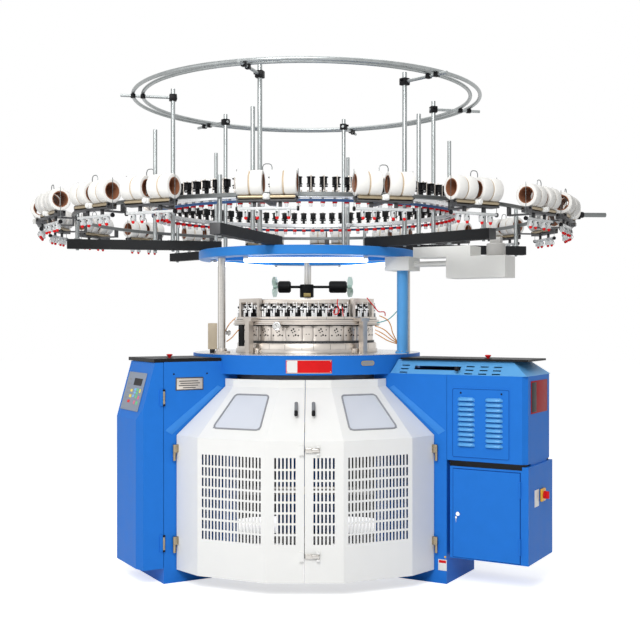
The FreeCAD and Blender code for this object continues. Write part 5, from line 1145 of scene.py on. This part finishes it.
buttonSizes = Values(left=(927, 100), right=(1199, -100), radius=17, plateTop=1221, headLow=1228,
                     headHigh=1243)


def makeButtons():
    b = buttonSizes
    low, high, top = b.headLow, b.headHigh, b.plateTop
    collars = blank()
    for side, leg in (("left", leftLeg), ("right", rightLeg)):
        body = "emergency_button_" + side
        place = leg @ shift(*buttonSizes[side], 0)
        mesh = lathe(blank(), [(0, low), (9, low), (12, low + 4), (b.radius, low + 8),
                               (b.radius - 0.5, high - 2), (12, high), (0, high)], place, 32)
        bar(mesh, 8, (0, 0, top - 5), low - top + 6, place=place)
        piece(body + "_head", mesh, red, body=body, stands=body)
        lathe(collars, [(10, top), (22, top), (20, top + 3), (10, top + 3)], place, 32)
    piece("buttonCollars", collars, black)


louvreSizes = Values(starts=(1065, 1222), width=98, rows=10, pitch=27, low=758.5, depth=14,
                     height=19, face=-202, line=(1036, 1354, 695, 1061), lineCorner=8)


def makeLouvres():
    # pressed hoods, open below, over the gaps of the panel, each with a dark strip of painted
    # shade under its lip
    s = louvreSizes
    steps = 6
    rows = []
    for inset, rise in ((0, 0.0), (5, 0.55), (14, 1.0)):
        row = []
        for turn in [pi / 2 * index / steps for index in range(steps + 1)]:
            out = s.depth * rise * sin(turn) + 0.3
            row.append((s.width - inset, s.face - out,
                        s.height * cos(turn) * (0.5 + 0.5 * rise) - 3))
        rows.append(row)
    rows += [[(s.width - x, y, z) for x, y, z in row] for row in reversed(rows)]
    # a dark strip under each hood: painted shade
    hoodShade = block(blank(), (8, s.face - 0.8, -6), (s.width - 8, s.face - 0.2, -3))
    place = rightLeg @ shift(s.starts[0], 0, s.low)
    # the hoods take the lighter blue as painted highlight
    for name, mesh, finish in (("louvreHoods", thinSheet(blank(), rows, 1.2), blueLit),
                               ("louvreGaps", hoodShade, blueSeamAndShade)):
        inGrid(name, mesh, len(s.starts), s.rows, (s.starts[1] - s.starts[0], s.pitch), place,
               finish)
    x0, x1, z0, z1 = s.line
    outline = roundedCorners([(x0, z0), (x1, z0), (x1, z1), (x0, z1)], s.lineCorner)
    piece("louvreOutline", wire(blank(), [(x, s.face + 0.6, z) for x, z in outline], 1.5,
                                rightLeg, True), blueSeamAndShade)


legTrimSizes = Values(band=((682, 1068), (993, 832), (953, 807.5), (654, 1054)), face=200.3,
                      thickness=1.2)


def makeLegTrim():
    # a lighter blue band on each front leg beside the guard's slope: painted highlight where the
    # leg's chamfer catches the light
    s = legTrimSizes
    mesh = blank()
    for leg, y in ((rightLeg, -s.face), (leftLeg, s.face + s.thickness)):
        plate(mesh, s.band, s.thickness, leg @ shift(0, y, 0) @ facing, 0.4)
    piece("legChamfers", mesh, blueChamferLit)


cabinetSizes = Values(doorStart=1040, doorEnd=1414, doorLow=156, doorHigh=629, seam=4,
                      face=-204.3, lockX=1069, lockZ=389, switchSide=20, switchHeight=492,
                      switchFace=1472.3, knob=22)


def makeCabinetParts():
    c = cabinetSizes
    x, y, z = c.lockX, c.face, c.lockZ
    mesh = bar(blank(), 12, (x, y - 9, z), 9, "Y", rightLeg, 28, 2)
    block(mesh, (x - 9, y - 12, z - 44), (x - 7, y - 10, z - 14), rightLeg, 0.5)
    block(mesh, (x - 13, y - 12, z - 24), (x - 3, y - 10, z - 12), rightLeg, 0.5)
    piece("doorLock", mesh, chrome, body="cabinet_door")
    x0, x1 = c.doorStart - c.seam, c.doorEnd + c.seam
    z0, z1 = c.doorLow - c.seam, c.doorHigh + c.seam
    mesh = blank()
    for left, right, low, high in ((x0, x1, z0, z0 + c.seam), (x0, x1, z1 - c.seam, z1),
                                   (x0, x0 + c.seam, z0, z1), (x1 - c.seam, x1, z0, z1)):
        block(mesh, (left, -200.6, low), (right, -199.6, high), rightLeg)
    piece("doorSeam", mesh, blueSeamAndShade, slot="black_paint")
    # black strips and a block over the spacer between the cover and the cabinet: painted shade
    # for the gap
    mesh = block(blank(), (1021, -201.4, 644), (1425, -200.2, 673.5), rightLeg, 0.4)
    block(mesh, (1016, -199, 662.3), (1440, 190, 673.5), rightLeg, 1)
    piece("cabinetGap", mesh, black, slot="black_paint")
    x, y, z = c.switchFace, c.switchSide, c.switchHeight
    mesh = bar(blank(), c.knob, (x, y, z), 11, "X", rightLeg, 36, 3)
    block(mesh, (x, y - 5.5, z - 20), (x + 28, y + 5.5, z + 20), rightLeg, 3)
    piece("switchKnob", mesh, red, body="main_switch", stands="main_switch")
    mesh = bar(blank(), 52, (1200, 19, 1783.3), 70, "Z", rightLeg, 48, 5)
    block(mesh, (1170, -2, 1840), (1232, 40, 1888), rightLeg, 5)
    piece("blowerCan", mesh, greyPaint, stands="blower_motor")


leverSizes = Values(pivot=930, side=135, height=1168, reach=367, turn=21)


def makeLever():
    s = leverSizes
    place = rightLeg @ shift(s.pivot, s.side, 0) @ turned(s.turn)
    mesh = block(blank(), (-9, -s.reach, s.height - 4), (9, 0, s.height + 4), place, 2)
    bar(mesh, 16, (0, 0, s.height - 5), 10, place=place)
    piece("leverArm", mesh, steel, body="clutch_lever", stands="clutch_lever")
    knob = [(0, -13), (8, -12), (13, -6), (14, 0), (13, 6), (8, 12), (0, 13)]
    piece("leverKnob", lathe(blank(), knob, place @ shift(0, -s.reach, s.height), 28), black,
          body="clutch_lever")


makePlates()
makeButtons()
makeLouvres()
makeLegTrim()
makeCabinetParts()
makeLever()
print("cabinets made")


# Floor, light and camera

viewSizes = Values(camera=(0.08, -6.4, 1.431), focalPixels=1057, imageWidth=640, sensor=36.0,
                   farthest=100, floor=60.0, floorTone=0.86, floorGlow=0.64, world=0.42,
                   aim=(0, 0, 1.3))

# where each light stands, its power and its size
lightSizes = {"key": ((-0.9, -5.5, 4.5), 250, 2.8), "fill": ((-4.6, -2.8, 2.4), 25, 3.0),
              "top": ((0.0, 0.4, 6.0), 70, 3.4)}


def lookedAt(tree, otherwise, looked):
    # one level for rays that look at the surroundings, another for those that only light
    seen = addNode(tree, "ShaderNodeLightPath").outputs
    mask = seen["Is Camera Ray"]
    for label in ("Is Glossy Ray", "Is Transmission Ray"):
        mask = mathNode(tree, "MAXIMUM", mask, seen[label])["Value"]
    return addNode(tree, "ShaderNodeMapRange", Value=mask, To_Min=otherwise,
                   To_Max=looked).outputs["Result"]


def makeSetting():
    v = viewSizes
    half, tone = v.floor / 2, v.floorTone
    data = bpy.data.meshes.new("floor")
    data.from_pydata([(-half, -half, 0), (half, -half, 0), (half, half, 0), (-half, half, 0)],
                     [], [(0, 1, 2, 3)])
    pale = makeFinish("PaleFloor", None, (tone, tone, tone), 0.9, 0, 0.005, 3, 0, shine=0.0,
                      Emission_Color=(1, 1, 1, 1))
    tree = pale.node_tree
    feed(tree, tree.nodes["Principled BSDF"], Emission_Strength=lookedAt(tree, 0.0, v.floorGlow))
    data.materials.append(pale)
    addObject("floor", data)
    scene.world = bpy.data.worlds.new("studio")
    scene.world.use_nodes = True
    tree = scene.world.node_tree
    feed(tree, tree.nodes["Background"], Color=(1, 1, 1, 1),
         Strength=lookedAt(tree, v.world, 1.0))
    for name, (spot, power, size) in lightSizes.items():
        light = bpy.data.lights.new(name, "AREA")
        light.energy = power
        light.size = size
        lamp = addObject(name, light)
        lamp.location = spot
        aim = Vector(v.aim) - Vector(spot)
        lamp.rotation_euler = aim.to_track_quat("-Z", "Y").to_euler()
    camera = bpy.data.cameras.new("camera")
    camera.sensor_width = v.sensor
    camera.lens = v.focalPixels / v.imageWidth * v.sensor
    camera.clip_end = v.farthest
    scene.camera = addObject("camera", camera)
    scene.camera.location = v.camera
    scene.camera.rotation_euler = (radians(90), 0, 0)


makeSetting()
print("setting made")
